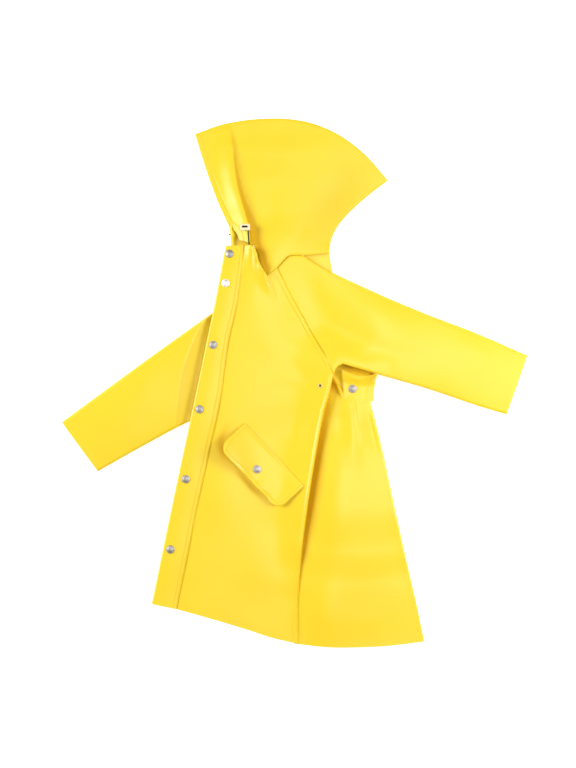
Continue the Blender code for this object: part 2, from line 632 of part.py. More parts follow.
def make_flap_and_belt(finish):
    cloth("pocket_flap", flap_outline, flap_height, FLAP_ROWS, single(FLAP_COLUMNS), finish)
    radius = (BACK_UPPER + OVER_BELT + WALL + SEAM + 0.25 - UNDER) / 2.0
    cloth("half_belt", BELT, belt_height, BELT_ROWS,
          folded((0.0, 0.25, 0.5, 0.75, 1.0), (1.0, 0.5, 0.0), radius), finish)


def make_snaps(finish):
    """Domed caps with a rolled rim, each pressed through the cloth it sits on."""
    radius, height = SNAP_RADIUS, SNAP_HEIGHT
    profile = [(0.0, 0.0), (radius - 0.6, 0.0), (radius, 0.5), (radius - 0.1, 1.1),
               (radius - 0.9, 1.45), (radius * 0.62, height * 0.85), (radius * 0.3, height * 0.97),
               (0.0, height)]
    surfaces = {"placket": (PLACKET_BAND, placket_height, PLACKET_WALL),
                "flap": (flap_outline, flap_height, WALL), "belt": (BELT, belt_height, WALL)}
    for name, x, y, carrier in SNAPS:
        stand_on(turned(name, profile, finish), surfaces[carrier], (x, y), radius - 0.6)


def cutter(name, mesh):
    """A shape that is only cut out of others."""
    tool = bpy.data.objects.new(name, mesh)
    tool.hide_render = True
    tool.display_type = "WIRE"
    bpy.context.scene.collection.objects.link(tool)
    return tool


def cut(node, tool):
    away = node.modifiers.new("cut", "BOOLEAN")
    away.operation = "DIFFERENCE"
    away.solver = "EXACT"
    away.object = tool


def rod(name, radius, length, steps=16):
    mesh = bmesh.new()
    bmesh.ops.create_cone(mesh, cap_ends=True, segments=steps, radius1=radius * MM,
                          radius2=radius * MM, depth=length * MM)
    data = bpy.data.meshes.new(name)
    mesh.to_mesh(data)
    mesh.free()
    return data


def make_eyelet(finish):
    """A pressed vent eyelet under the arm, with its hole through the left front."""
    inner, outer = EYELET_HOLE, EYELET_RADIUS
    profile = [(inner, 0.2), (inner + 0.3, 0.0), (outer - 0.4, 0.0), (outer, 0.3),
               (outer - 0.8, 0.9), (inner + 0.7, 1.0), (inner, 0.6)]
    ring = turned("vent_eyelet", profile, finish)
    stand_on(ring, (FRONT_LEFT, front_left_height, WALL), EYELET_PLACE, outer - 0.4)
    hole = cutter("eyelet_hole", rod("eyelet_hole", EYELET_HOLE, 12.0))
    hole.matrix_world = ring.matrix_world
    cut(bpy.data.objects["front_left"], hole)


def make_cord(cord_finish, toggle_finish):
    """The hood's cord comes out at the chin and ends in its toggle on the left half."""
    length, depth, height = TOGGLE_SIZE
    mesh = bmesh.new()
    bmesh.ops.create_cube(mesh, size=1.0)
    bmesh.ops.scale(mesh, verts=mesh.verts, vec=(length * MM, depth * MM, height * MM))
    upright = [edge for edge in mesh.edges
               if abs(edge.verts[0].co.z - edge.verts[1].co.z) > height * MM / 2.0]
    bmesh.ops.bevel(mesh, geom=upright, offset=depth * 0.42 * MM, segments=5, profile=0.5,
                    affect="EDGES")
    data = bpy.data.meshes.new("toggle")
    mesh.to_mesh(data)
    mesh.free()
    toggle = place_object("toggle", data, toggle_finish)
    middle = Vector((*TOGGLE_PLACE, TOGGLE_LEVEL))
    toggle.location = middle * MM
    bore = cutter("toggle_bore", rod("toggle_bore", TOGGLE_BORE, depth * 1.5))
    mouth = middle + Vector((TOGGLE_CORD_OFFSET, -depth / 2.0, 0.0))
    bore.matrix_world = Matrix.Translation(mouth * MM) @ Matrix.Rotation(math.pi / 2.0, 4, "X")
    cut(toggle, bore)
    slot_mesh = bmesh.new()
    bmesh.ops.create_cube(slot_mesh, size=1.0)
    bmesh.ops.scale(slot_mesh, verts=slot_mesh.verts, vec=[size * MM for size in TOGGLE_SLOT])
    slot_data = bpy.data.meshes.new("toggle_slot")
    slot_mesh.to_mesh(slot_data)
    slot_mesh.free()
    slot = cutter("toggle_slot", slot_data)
    slot.location = (middle + Vector((-0.8, 0.0, height / 2.0))) * MM
    cut(toggle, slot)
    cord("drawcord_left", CORD_ROUTE, cord_finish)
    cord("drawcord_right", CORD_STUB, cord_finish)


def cord(name, route, finish):
    """A round cord along a smooth curve through its route."""
    curve = bpy.data.curves.new(name, "CURVE")
    curve.dimensions = "3D"
    line = curve.splines.new("POLY")
    smooth = run(route)
    count = 5 * len(route) - 4
    line.points.add(count - 1)
    for index, point in enumerate(line.points):
        spot = smooth(index / (count - 1)) * MM
        point.co = (*spot, 1.0)
    curve.bevel_depth = CORD_RADIUS * MM
    curve.bevel_resolution = 2
    curve.use_fill_caps = True
    place_object(name, curve, finish)


def main():
    for old in list(bpy.data.objects):
        bpy.data.objects.remove(old)
    cloth_finish = material("coated_cloth", YELLOW, 0.4)
    steel_finish = material("snap_steel", STEEL, 0.3, metallic=1.0)
    make_body(cloth_finish)
    make_sleeves(cloth_finish)
    make_hood(cloth_finish)
    make_flap_and_belt(cloth_finish)
    make_snaps(steel_finish)
    make_eyelet(steel_finish)
    make_cord(material("cord", DARK_CORD, 0.8), material("toggle_plastic", CREAM, 0.4))
    for node in bpy.data.objects:
        node.location -= Vector((*MIDDLE, 0.0)) * MM


main()
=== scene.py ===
# %% [markdown]
# # A child's raincoat, laid out on its side
# This notebook dresses a measured frame in the look of a real garment: a yellow raincoat of
# coated cloth, with a hood, raglan sleeves, a snap placket, a pocket flap and a half belt.
# It lies flat on its right side, so its left front, left sleeve and left hood half are on top.
# Lengths in tables are millimetres, as a pattern cutter would write them, and are turned into
# Blender's metres when a mesh is made. X runs across, Y from the hem to the hood, Z up.

import math

import bpy
import numpy as np
from mathutils import Matrix, Vector
from mathutils.bvhtree import BVHTree


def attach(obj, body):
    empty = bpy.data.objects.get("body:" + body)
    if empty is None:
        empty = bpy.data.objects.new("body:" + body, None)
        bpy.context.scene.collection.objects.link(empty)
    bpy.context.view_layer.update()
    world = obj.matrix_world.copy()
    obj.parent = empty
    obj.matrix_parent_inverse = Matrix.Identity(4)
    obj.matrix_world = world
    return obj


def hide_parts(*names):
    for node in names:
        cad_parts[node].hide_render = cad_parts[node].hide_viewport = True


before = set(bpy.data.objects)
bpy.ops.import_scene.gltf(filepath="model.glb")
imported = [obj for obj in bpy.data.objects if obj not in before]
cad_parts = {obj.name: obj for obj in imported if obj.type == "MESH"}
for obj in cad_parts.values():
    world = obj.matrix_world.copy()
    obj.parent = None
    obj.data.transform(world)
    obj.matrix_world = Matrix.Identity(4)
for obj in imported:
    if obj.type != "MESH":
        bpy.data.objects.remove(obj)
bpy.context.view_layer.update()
MM = 0.001
MIDDLE = (-0.3, -0.085)     # the tables' origin lies this far off the coat's middle

# %% [markdown]
# ## Camera
# A garment that lies flat is looked at from straight above. A long lens at a distance keeps
# its outline free of perspective. The camera's own axes already look down, with +Y upwards,
# so it only needs a place.

# %% Camera
LENS = 85.0
FILM = 36.0
VIEW_HEIGHT = 1228.8        # how much of the floor the camera takes in, top to bottom
VIEW_CENTRE = (-10.74, -1.68)
distance = VIEW_HEIGHT * LENS / FILM
bpy.ops.object.camera_add(location=(VIEW_CENTRE[0] * MM, VIEW_CENTRE[1] * MM, distance * MM))
camera = bpy.context.object
camera.name = "overhead_camera"
camera.data.lens = LENS
camera.data.sensor_width = FILM
camera.data.clip_start = 0.1
camera.data.clip_end = 50.0
bpy.context.scene.camera = camera
print("camera height", round(distance), "mm")

# %% [markdown]
# ## Numbers that rise softly
# Cloth has no kinks, so every height and every change of width is eased. These few functions
# work on whole arrays of points at once, which keeps sheets of many thousand points quick.

# %% Easing
def smoothstep(value):
    """Rise softly from 0 to 1 while value goes from 0 to 1."""
    value = np.clip(value, 0.0, 1.0)
    return value * value * (3.0 - 2.0 * value)


def levelling(value):
    """Rise quickly from 0 and level off at 1."""
    return 1.0 - (1.0 - np.clip(value, 0.0, 1.0)) ** 2


def rounded(value):
    """Rise from 0 to 1 as a quarter circle does, like the round of a folded edge."""
    return np.sqrt(levelling(value))


def lerp(start, end, share):
    """Go from start to end as share goes from 0 to 1."""
    return start + (end - start) * share


def bell(distance, reach):
    """A soft bump that is 1 at distance 0."""
    return np.exp(-(distance / reach) ** 2)


def read(table, share, column=1):
    """Read a column of a table whose first column is a share, softly between its rows."""
    stops = np.array([row[0] for row in table])
    values = np.array([row[column] for row in table])
    share = np.clip(share, stops[0], stops[-1])
    index = np.clip(np.searchsorted(stops, share, side="right") - 1, 0, len(stops) - 2)
    part = (share - stops[index]) / (stops[index + 1] - stops[index])
    return lerp(values[index], values[index + 1], smoothstep(part))


def shares(count, *close):
    """Shares from 0 to 1; each of close is (share, reach, times closer) packs them there."""
    fine = np.linspace(0.0, 1.0, 4001)
    density = np.ones_like(fine)
    for centre, reach, closer in close:
        density += (closer - 1.0) * np.exp(-((fine - centre) / reach) ** 2)
    total = np.concatenate([[0.0], np.cumsum((density[1:] + density[:-1]) / 2.0)])
    return np.interp(np.linspace(0.0, total[-1], count), total, fine)


print("a quarter of the way, a soft rise has reached", float(smoothstep(0.25)))

# %% [markdown]
# ## Outlines of the pattern pieces
# Each piece of the coat is a patch between four smooth edges. An edge is a short run of
# (x, y) points, and neighbours share the same run, so that they meet along their seam.

# %% Curves and patches
def run(points):
    """A smooth curve through points; it takes shares of its length."""
    spots = np.array(points, dtype=float)
    stops = np.concatenate([[0.0], np.cumsum(np.linalg.norm(np.diff(spots, axis=0), axis=1))])
    slopes = np.empty_like(spots)
    slopes[1:-1] = (spots[2:] - spots[:-2]) / (stops[2:] - stops[:-2])[:, None]
    slopes[0] = (spots[1] - spots[0]) / stops[1]
    slopes[-1] = (spots[-1] - spots[-2]) / (stops[-1] - stops[-2])

    def at(share):
        length = np.clip(np.asarray(share, dtype=float), 0.0, 1.0) * stops[-1]
        index = np.clip(np.searchsorted(stops, length, side="right") - 1, 0, len(spots) - 2)
        gap = (stops[index + 1] - stops[index])[..., None]
        part = (length - stops[index])[..., None] / gap
        square, cube = part ** 2, part ** 3
        return (spots[index] * (2 * cube - 3 * square + 1)
                + slopes[index] * gap * (cube - 2 * square + part)
                + spots[index + 1] * (3 * square - 2 * cube)
                + slopes[index + 1] * gap * (cube - square))
    return at


def part_of(curve, first, last):
    """The stretch of a curve between two shares."""
    return lambda share: curve(lerp(first, last, np.asarray(share, dtype=float)))


def chain(*pieces):
    """Join curves end to end; each piece is (share at which it ends, curve)."""
    def at(share):
        share = np.asarray(share, dtype=float)
        first, made = 0.0, None
        for last, curve in pieces:
            local = curve(np.clip((share - first) / (last - first), 0.0, 1.0))
            made = local if made is None else np.where((share > first)[..., None], local, made)
            first = last
        return made
    return at


def patch(top, right, bottom, left):
    """Fill four edges; the result gives the points for shares down and across."""
    def at(down, across):
        down, across = np.broadcast_arrays(np.asarray(down, float), np.asarray(across, float))
        a, d = across[..., None], down[..., None]
        corners = lerp(lerp(left(0.0), right(0.0), a), lerp(left(1.0), right(1.0), a), d)
        return lerp(left(down), right(down), a) + lerp(top(across), bottom(across), d) - corners
    return at


def side_by_side(first, until, second, onwards):
    """Join two patches with a narrow strip between them."""
    def at(down, across):
        down, across = np.broadcast_arrays(np.asarray(down, float), np.asarray(across, float))
        before = first(down, np.clip(across / until, 0.0, 1.0))
        after = second(down, np.clip((across - onwards) / (1.0 - onwards), 0.0, 1.0))
        mix = np.clip((across - until) / (onwards - until), 0.0, 1.0)[..., None]
        return lerp(before, after, mix)
    return at


# %% Outline tables
HOOD_TIP, HOOD_PEAK = (-159.5, 397.5), (148.5, 323.5)
HOOD_CROWN = [HOOD_TIP, (-119.0, 412.0), (-80.5, 419.6), (-42.0, 422.3), (-4.0, 420.8),
              (34.5, 412.2), (73.0, 394.2), (111.5, 364.8), HOOD_PEAK]
FRONT_CORNER, NECK_LOW, RAGLAN_TOP = (-80.0, 219.5), (-44.0, 171.5), (-28.5, 183.5)
SLEEVE_NECK, BACK_NECK, NECK_BACK = (-1.5, 203.5), (13.0, 203.0), (54.0, 206.5)
HOOD_BACK = [HOOD_PEAK, (123.5, 304.8), (100.5, 285.4), (80.8, 266.2), (66.2, 247.0),
             (57.8, 227.8), NECK_BACK]
HOOD_FRONT_EDGE = [HOOD_TIP, (-150.0, 366.0), (-137.5, 328.0), (-123.0, 289.5), (-105.5, 251.0)]
HOOD_CHIN_EDGE = [(-105.5, 251.0), (-98.0, 245.0), (-92.5, 238.0), (-88.5, 227.5)]
HOOD_CHIN = [(-88.5, 227.5), (-80.0, 225.5), (-68.5, 220.5)]
HOOD_CREST = [(-99.0, 372.5), (-96.0, 342.0), (-91.5, 314.0), (-85.5, 291.0), (-79.5, 271.0),
              (-74.5, 252.0), (-71.0, 236.0), (-68.5, 220.5)]
UNDER_HOOD_EDGE = [HOOD_TIP, (-149.5, 365.0), (-137.0, 327.0), (-122.5, 288.5), (-104.5, 249.0)]
UNDER_CHIN_EDGE = [(-104.5, 249.0), (-102.5, 236.0), (-101.5, 212.0)]
UNDER_CHIN = [(-101.5, 212.0), (-85.0, 212.0), (-68.5, 212.0)]
FRONT_NECK = [FRONT_CORNER, (-72.5, 220.0), (-66.5, 218.0), (-61.5, 208.5), (-58.5, 196.5),
              (-52.5, 184.0), NECK_LOW]
SLEEVE_NECK_LINE = [RAGLAN_TOP, (-11.5, 201.0), SLEEVE_NECK, BACK_NECK]
RAGLAN = [RAGLAN_TOP, (-6.0, 138.0), (12.0, 106.0), (30.0, 72.5), (47.5, 43.5), (61.5, 14.5)]
SIDE = [(61.5, 14.5), (55.5, -14.5), (45.5, -50.0), (28.5, -144.5), (15.0, -235.5), (8.0, -297.0),
        (4.5, -345.0), (5.0, -416.8)]
BACK_RAGLAN = [BACK_NECK, (30.0, 150.0), (50.0, 80.0), (61.5, 14.5)]
PLACKET_INNER = [FRONT_CORNER, (-92.5, 126.0), (-106.0, 68.5), (-119.5, -27.0), (-154.0, -187.0),
                 (-189.0, -361.0)]
PLACKET_OUTER = [(-110.0, 218.5), (-126.0, 133.0), (-139.5, 68.5), (-159.5, -27.5),
                 (-194.0, -187.5), (-228.0, -353.0)]
FRONT_HEM = [(-189.0, -361.0), (-133.5, -376.6), (-76.5, -393.8), (-36.5, -407.0), (5.0, -416.8)]
BACK_HEM = [(5.0, -416.8), (39.5, -421.0), (75.5, -422.6), (143.0, -420.7), (206.5, -413.5)]
CENTRE_BACK = [NECK_BACK, (60.0, 176.5), (105.0, 80.0), (125.5, 18.0), (122.0, -8.0),
               (121.0, -30.0), (124.5, -46.0), (133.5, -81.0), (146.3, -138.0), (160.7, -205.5),
               (177.8, -283.0), (194.0, -353.5), (206.5, -413.5)]
LEFT_SLEEVE_TOP = [BACK_NECK, (39.5, 186.5), (60.0, 175.5), (142.0, 138.0), (214.5, 108.0),
                   (287.5, 80.0), (371.5, 43.5)]
ARMPIT = [(61.5, 14.5), (66.5, 25.0), (76.0, 30.5)]
LEFT_UNDERARM = [(76.0, 30.5), (104.0, 22.5), (133.5, 13.5), (214.5, -10.0), (291.5, -36.0),
                 (338.5, -50.0)]
LEFT_CUFF = [(371.5, 43.5), (338.5, -50.0)]
RIGHT_SLEEVE_TOP = [RAGLAN_TOP, (-129.0, 113.5), (-251.0, 26.0), (-372.0, -63.0)]
RIGHT_UNDERARM = [(61.5, 14.5), (-50.0, -9.0), (-165.5, -59.5), (-240.0, -99.0), (-315.0, -141.0)]
RIGHT_CUFF = [(-372.0, -63.0), (-315.0, -141.0)]
BELT_TOP = [(74.5, 21.0), (88.0, 15.5), (105.0, 11.0), (120.0, 12.0), (132.0, 17.0)]
BELT_BOTTOM = [(78.5, -30.5), (98.0, -31.5), (125.5, -29.5)]
BELT_END = [(74.5, 21.0), (76.5, -5.0), (78.5, -30.5)]
BELT_FOLD = [(132.0, 17.0), (126.5, -8.0), (125.5, -29.5)]
FLAP_TOP = ((-80.0, -64.0), (14.0, -164.0))
FLAP_DEPTH = 56.0
FLAP_CORNER = 17.0
raglan_steps = np.diff(run(RAGLAN)(np.linspace(0.0, 1.0, 50)), axis=0)
print("raglan seam", round(float(np.linalg.norm(raglan_steps, axis=1).sum())), "mm")

# %% Patches of the pieces
V_SHARE = 0.79              # how far across the front's top edge the neckline's V lies
ARMPIT_SHARE = 0.32         # how far down the side the armpit lies
CREST_SHARE, FOOT_SHARE = 0.24, 0.255       # across the hood: the fold's crest and its foot
CREST_FROM = 0.162          # where on the crown the fold starts
NECK_SHARES = (0.30, 0.42, 0.66, 1.0)       # the four stretches of the hood's neck seam
CROWN = run(HOOD_CROWN)
CREST_LINE = run([tuple(CROWN(CREST_FROM))] + HOOD_CREST)
NECK_RUN = run(FRONT_NECK)


def foot_line(share):
    """Just beside the crest of the hood's big fold."""
    share = np.asarray(share, dtype=float)
    aside = lerp(0.8, 3.0, smoothstep(share * 3.0))
    return CREST_LINE(share) + np.stack([aside, np.zeros_like(aside)], axis=-1)


def hood_outline(front_side, chin):
    """The hood half: a strip in front of the big fold, then the main part."""
    strip = patch(part_of(CROWN, 0.0, CREST_FROM), CREST_LINE, run(chin), front_side)
    neck = chain((NECK_SHARES[0], run([tuple(foot_line(1.0))] + FRONT_NECK[3:])),
                 (NECK_SHARES[1], run([NECK_LOW, RAGLAN_TOP])),
                 (NECK_SHARES[2], run(SLEEVE_NECK_LINE)),
                 (NECK_SHARES[3], run([BACK_NECK, NECK_BACK])))
    rest = part_of(CROWN, CREST_FROM, 1.0)
    offset = foot_line(0.0) - rest(0.0)
    main = patch(lambda share: rest(share) + offset * (1.0 - np.asarray(share)[..., None]),
                 run(HOOD_BACK), neck, foot_line)
    return side_by_side(strip, CREST_SHARE, main, FOOT_SHARE)


CHIN_FROM = 0.86            # how far down the face edge the chin starts
HOOD_LEFT = hood_outline(chain((CHIN_FROM, run(HOOD_FRONT_EDGE)), (1.0, run(HOOD_CHIN_EDGE))),
                         HOOD_CHIN)
HOOD_RIGHT = hood_outline(chain((CHIN_FROM, run(UNDER_HOOD_EDGE)), (1.0, run(UNDER_CHIN_EDGE))),
                          UNDER_CHIN)
FRONT_LEFT = patch(chain((V_SHARE, NECK_RUN), (1.0, run([NECK_LOW, RAGLAN_TOP]))),
                   chain((ARMPIT_SHARE, run(RAGLAN)), (1.0, run(SIDE))),
                   run(FRONT_HEM), run(PLACKET_INNER))
RIGHT_FOLD = [(x + 2.0, y) for x, y in PLACKET_OUTER]
FRONT_RIGHT = patch(chain((0.3, run([RIGHT_FOLD[0], FRONT_CORNER])), (0.85, NECK_RUN),
                          (1.0, run([NECK_LOW, RAGLAN_TOP]))),
                    chain((ARMPIT_SHARE, run(RAGLAN)), (1.0, run(SIDE))),
                    chain((0.2, run([RIGHT_FOLD[-1], FRONT_HEM[0]])), (1.0, run(FRONT_HEM))),
                    run(RIGHT_FOLD))
TUCKED = 6.0                # how far the back runs on beneath the left front's edge
UNDER_SIDE = [(x - TUCKED, y) for x, y in SIDE]
UNDER_NECK = [(13.0, 208.0), (55.0, 212.0)]
BACK = patch(run(UNDER_NECK), run([UNDER_NECK[1]] + CENTRE_BACK[1:]),
             run([UNDER_SIDE[-1]] + BACK_HEM[1:]),
             chain((ARMPIT_SHARE, run([UNDER_NECK[0]] + BACK_RAGLAN[1:-1] + [UNDER_SIDE[0]])),
                   (1.0, run(UNDER_SIDE))))
PLACKET_BAND = patch(run([PLACKET_OUTER[0], FRONT_CORNER]), run(PLACKET_INNER),
                     run([PLACKET_OUTER[-1], PLACKET_INNER[-1]]), run(PLACKET_OUTER))
SLEEVE_LEFT = patch(run(RAGLAN), chain((0.055, run(ARMPIT)), (1.0, run(LEFT_UNDERARM))),
                    run(LEFT_CUFF), chain((0.09, run(SLEEVE_NECK_LINE)), (1.0, run(LEFT_SLEEVE_TOP))))
SLEEVE_RIGHT = patch(run(BACK_RAGLAN), run(RIGHT_UNDERARM), run(RIGHT_CUFF),
                     chain((0.09, run(SLEEVE_NECK_LINE[::-1])), (1.0, run(RIGHT_SLEEVE_TOP))))
BELT = patch(run(BELT_TOP), run(BELT_FOLD), run(BELT_BOTTOM), run(BELT_END))


def flap_outline(down, across):
    """The pocket flap: a rectangle from its sewn edge, with its free corners rounded."""
    down, across = np.broadcast_arrays(np.asarray(down, float), np.asarray(across, float))
    start, end = np.array(FLAP_TOP[0]), np.array(FLAP_TOP[1])
    length = np.linalg.norm(end - start)
    along = (end - start) / length
    outward = np.array((along[1], -along[0]))
    into_corner = np.clip(FLAP_CORNER - FLAP_DEPTH * (1.0 - down), 0.0, FLAP_CORNER)
    inset = FLAP_CORNER - np.sqrt(FLAP_CORNER ** 2 - into_corner ** 2)
    place = lerp(inset, length - inset, across)[..., None]
    return start + along * place + outward * (FLAP_DEPTH * down)[..., None]


print("hood spans", HOOD_LEFT(0.5, 1.0) - HOOD_LEFT(0.5, 0.0))

# %% [markdown]
# ## Distances on the cloth
# Folds, rows of stitching and dents are all placed by how far a point lies from a line, so a
# helper measures that, with its sign saying on which side of the line the point is.

# %% Distances and creases
def from_line(points, line):
    """Distance to a line of points, signed plus to its left, and the share along it."""
    start, end = line[:-1], line[1:]
    steps = end - start
    lengths = np.linalg.norm(steps, axis=1)
    stops = np.concatenate([[0.0], np.cumsum(lengths)])
    flat = points.reshape(-1, 2)
    best = np.full(len(flat), np.inf)
    signed = np.zeros(len(flat))
    share = np.zeros(len(flat))
    for first, step, length, stop in zip(start, steps, lengths, stops):
        offset = flat - first
        part = np.clip(offset @ step / length ** 2, 0.0, 1.0)
        away = np.linalg.norm(offset - part[:, None] * step, axis=1)
        side = np.sign(step[0] * offset[:, 1] - step[1] * offset[:, 0])
        nearer = away < best
        best[nearer] = away[nearer]
        signed[nearer] = (away * side)[nearer]
        share[nearer] = ((stop + part * length) / stops[-1])[nearer]
    return signed.reshape(points.shape[:-1]), share.reshape(points.shape[:-1])


def line_of(points, count=24):
    """A smooth curve through points, as a line of count points."""
    return run(points)(np.linspace(0.0, 1.0, count))


def creases(points, table):
    """Sum of soft ridges: (points of its line, reach to its left, reach to its right, height)."""
    total = np.zeros(points.shape[:-1])
    for line, left, right, height in table:
        away, share = from_line(points, line_of(line, 12))
        reach = np.where(away > 0.0, left, right)
        total += height * np.sin(np.pi * np.clip(share, 0.0, 1.0)) ** 2 * bell(away, reach)
    return total


def inside(points, polygon):
    """Which points lie within a polygon, by counting the edges to the right of each."""
    flat = points.reshape(-1, 2)
    found = np.zeros(len(flat), dtype=bool)
    for start, end in zip(polygon, np.roll(polygon, -1, axis=0)):
        spans = (start[1] > flat[:, 1]) != (end[1] > flat[:, 1])
        rise = end[1] - start[1] if end[1] != start[1] else 1.0
        crossing = start[0] + (end[0] - start[0]) * (flat[:, 1] - start[1]) / rise
        found ^= spans & (flat[:, 0] < crossing)
    return found.reshape(points.shape[:-1])


def ring_of(outline, steps=14):
    """The outline's four edges as one polygon."""
    go = np.arange(steps) / steps
    one, none = np.ones(steps), np.zeros(steps)
    return np.concatenate([outline(none, go), outline(go, one), outline(one, 1.0 - go),
                           outline(1.0 - go, none)])


def raised_over(polygon, height, margin, slope):
    """Height of cloth that lies over a hidden piece and falls off softly beside it."""
    closed = np.concatenate([polygon, polygon[:1]])

    def at(points):
        away = np.where(inside(points, polygon), 0.0, np.abs(from_line(points, closed)[0]))
        return height * (1.0 - smoothstep((away - margin) / slope))
    return at


over_sleeve = raised_over(ring_of(SLEEVE_RIGHT), 3.9, 8.0, 75.0)
over_belt = raised_over(ring_of(BELT), 1.55, 14.0, 26.0)
rise = float(over_sleeve(np.array([[0.0, 60.0]]))[0])
print("over the hidden sleeve the cloth rises", round(rise, 1), "mm")

# %% [markdown]
# ## The coated cloth
# The shell is a polyester knit with a polyurethane coat. It is opaque, a saturated warm
# yellow, and has a soft satin sheen with a very fine grain pressed into its coat. The grain
# is finer than can be seen from this far, so it is drawn a little coarser, and a broad, faint
# unevenness in the coat keeps large panels from looking painted. In deep folds a golden shade
# is painted into the colour, and the cloth is made rougher there, so its sheen fades. How much
# shade is painted on each point is kept on the sheet as an attribute that the material reads.

# %% Material helpers
def hex_colour(code):
    """An sRGB hex colour as the linear values that shaders use."""
    parts = [int(code[i:i + 2], 16) / 255.0 for i in (1, 3, 5)]
    return tuple(p / 12.92 if p <= 0.04045 else ((p + 0.055) / 1.055) ** 2.4 for p in parts) + (1.0,)


def add_node(tree, kind, settings=(), inputs=(), links=()):
    """Add a node; settings are its properties, inputs its values, links (input, from socket)."""
    node = tree.nodes.new(kind)
    for name, value in dict(settings).items():
        setattr(node, name, value)
    for name, value in dict(inputs).items():
        node.inputs[name].default_value = value
    for name, socket in dict(links).items():
        tree.links.new(socket, node.inputs[name])
    return node


def new_material(name):
    """A new material, its node tree and its shader."""
    made = bpy.data.materials.new(name)
    made.use_nodes = True
    return made, made.node_tree, made.node_tree.nodes["Principled BSDF"]


def ramp(tree, factor, *stops):
    """A colour ramp; each stop is (place, linear colour)."""
    node = add_node(tree, "ShaderNodeValToRGB", links={"Fac": factor})
    marks = node.color_ramp.elements
    for mark, (place, colour) in zip((marks[0], marks[1]), (stops[0], stops[-1])):
        mark.position, mark.color = place, colour
    for place, colour in stops[1:-1]:
        marks.new(place).color = colour
    return node


def mottled(name, low, high, size, roughness):
    """A plain finish whose colour wanders between two shades over a size in mm."""
    made, tree, shader = new_material(name)
    place = add_node(tree, "ShaderNodeTexCoord").outputs["Object"]
    noise = add_node(tree, "ShaderNodeTexNoise", inputs={"Scale": 1.0 / (size * MM)},
                     links={"Vector": place})
    tint = ramp(tree, noise.outputs["Fac"], (0.3, hex_colour(low)), (0.7, hex_colour(high)))
    tree.links.new(tint.outputs["Color"], shader.inputs["Base Color"])
    shader.inputs["Roughness"].default_value = roughness
    return made


print("mid grey is", round(hex_colour("#808080")[0], 3), "to a shader")

# %% Coated cloth
GRAIN = 2.2                 # mm; the coat's fine grain, drawn coarser than its real 0.4
UNEVEN = 45.0               # mm; breadth of the coat's faint unevenness
# The last colour is the golden shade painted into deep folds.
YELLOW, YELLOW_DEEP, GOLDEN_PAINTED_SHADE = "#EFCE2A", "#EECC28", "#D6A600"
SATIN, SATIN_SPREAD, MATTE = 0.34, 0.04, 0.5        # roughness, its spread, and more in a fold
GRAIN_DEPTH = 0.15          # mm


def coated_cloth(name):
    """Satin coated cloth, with golden shade painted in and more roughness where the fold attribute
    rises.
    """
    made, tree, shader = new_material(name)
    place = add_node(tree, "ShaderNodeTexCoord").outputs["Object"]
    grain = add_node(tree, "ShaderNodeTexNoise", inputs={"Scale": 1.0 / (GRAIN * MM), "Detail": 3.0,
                                                         "Roughness": 0.6}, links={"Vector": place})
    broad = add_node(tree, "ShaderNodeTexNoise", inputs={"Scale": 1.0 / (UNEVEN * MM), "Detail": 2.0,
                                                         "Roughness": 0.5}, links={"Vector": place})
    tint = ramp(tree, broad.outputs["Fac"], (0.3, hex_colour(YELLOW_DEEP)), (0.7, hex_colour(YELLOW)))
    # The fold attribute says how much golden shade is painted into the colour here; it also adds
    # roughness.
    fold = add_node(tree, "ShaderNodeAttribute", settings={"attribute_name": "painted_fold_shade"})
    painted_shade_mix = add_node(tree, "ShaderNodeMix", settings={"data_type": "RGBA"})
    painted_shade_mix.inputs[7].default_value = hex_colour(GOLDEN_PAINTED_SHADE)      # 6 and 7 are the node's two colours
    tree.links.new(fold.outputs["Fac"], painted_shade_mix.inputs[0])
    tree.links.new(tint.outputs["Color"], painted_shade_mix.inputs[6])
    tree.links.new(painted_shade_mix.outputs[2], shader.inputs["Base Color"])
    rough = add_node(tree, "ShaderNodeMapRange",
                     inputs={"From Min": 0.3, "From Max": 0.7, "To Min": SATIN - SATIN_SPREAD,
                             "To Max": SATIN + SATIN_SPREAD}, links={"Value": grain.outputs["Fac"]})
    matte = add_node(tree, "ShaderNodeMath", settings={"operation": "MULTIPLY_ADD"})
    matte.inputs[1].default_value = MATTE
    tree.links.new(fold.outputs["Fac"], matte.inputs[0])
    tree.links.new(rough.outputs["Result"], matte.inputs[2])
    tree.links.new(matte.outputs["Value"], shader.inputs["Roughness"])
    bump = add_node(tree, "ShaderNodeBump", inputs={"Strength": 0.12, "Distance": GRAIN_DEPTH * MM},
                    links={"Height": grain.outputs["Fac"]})
    tree.links.new(bump.outputs["Normal"], shader.inputs["Normal"])
    shader.inputs["IOR"].default_value = 1.5
    shader.inputs["Specular IOR Level"].default_value = 0.42
    return made


shell_cloth = coated_cloth("polyurethane_coated_knit")
print("cloth colour", [round(c, 3) for c in hex_colour(YELLOW)])

# %% [markdown]
# ## Turning a patch into cloth
# A sheet starts as a grid from the Add menu. Its points are moved to the patch's outline and
# to a height of their own, and a Solidify modifier gives the thin wall. Where a piece is
# folded or is a tube, the grid runs on round the fold, so that it stays one sheet.

# %% Sheets of cloth
WALL = 1.1                  # thickness of the coated cloth
CREASED = 48.0              # degrees; a sharper turn than this is shaded as an edge


def placed(x, y, z):
    """A place from the tables, in Blender's metres."""
    return Vector((x - MIDDLE[0], y - MIDDLE[1], z)) * MM


def pick_faces(piece, test):
    """Select the faces that pass a test, and stay in edit mode."""
    bpy.ops.object.mode_set(mode="EDIT")
    bpy.ops.mesh.select_mode(type="FACE")
    bpy.ops.mesh.select_all(action="DESELECT")
    bpy.ops.object.mode_set(mode="OBJECT")
    for face in piece.data.polygons:
        face.select = test(face)
    bpy.ops.object.mode_set(mode="EDIT")


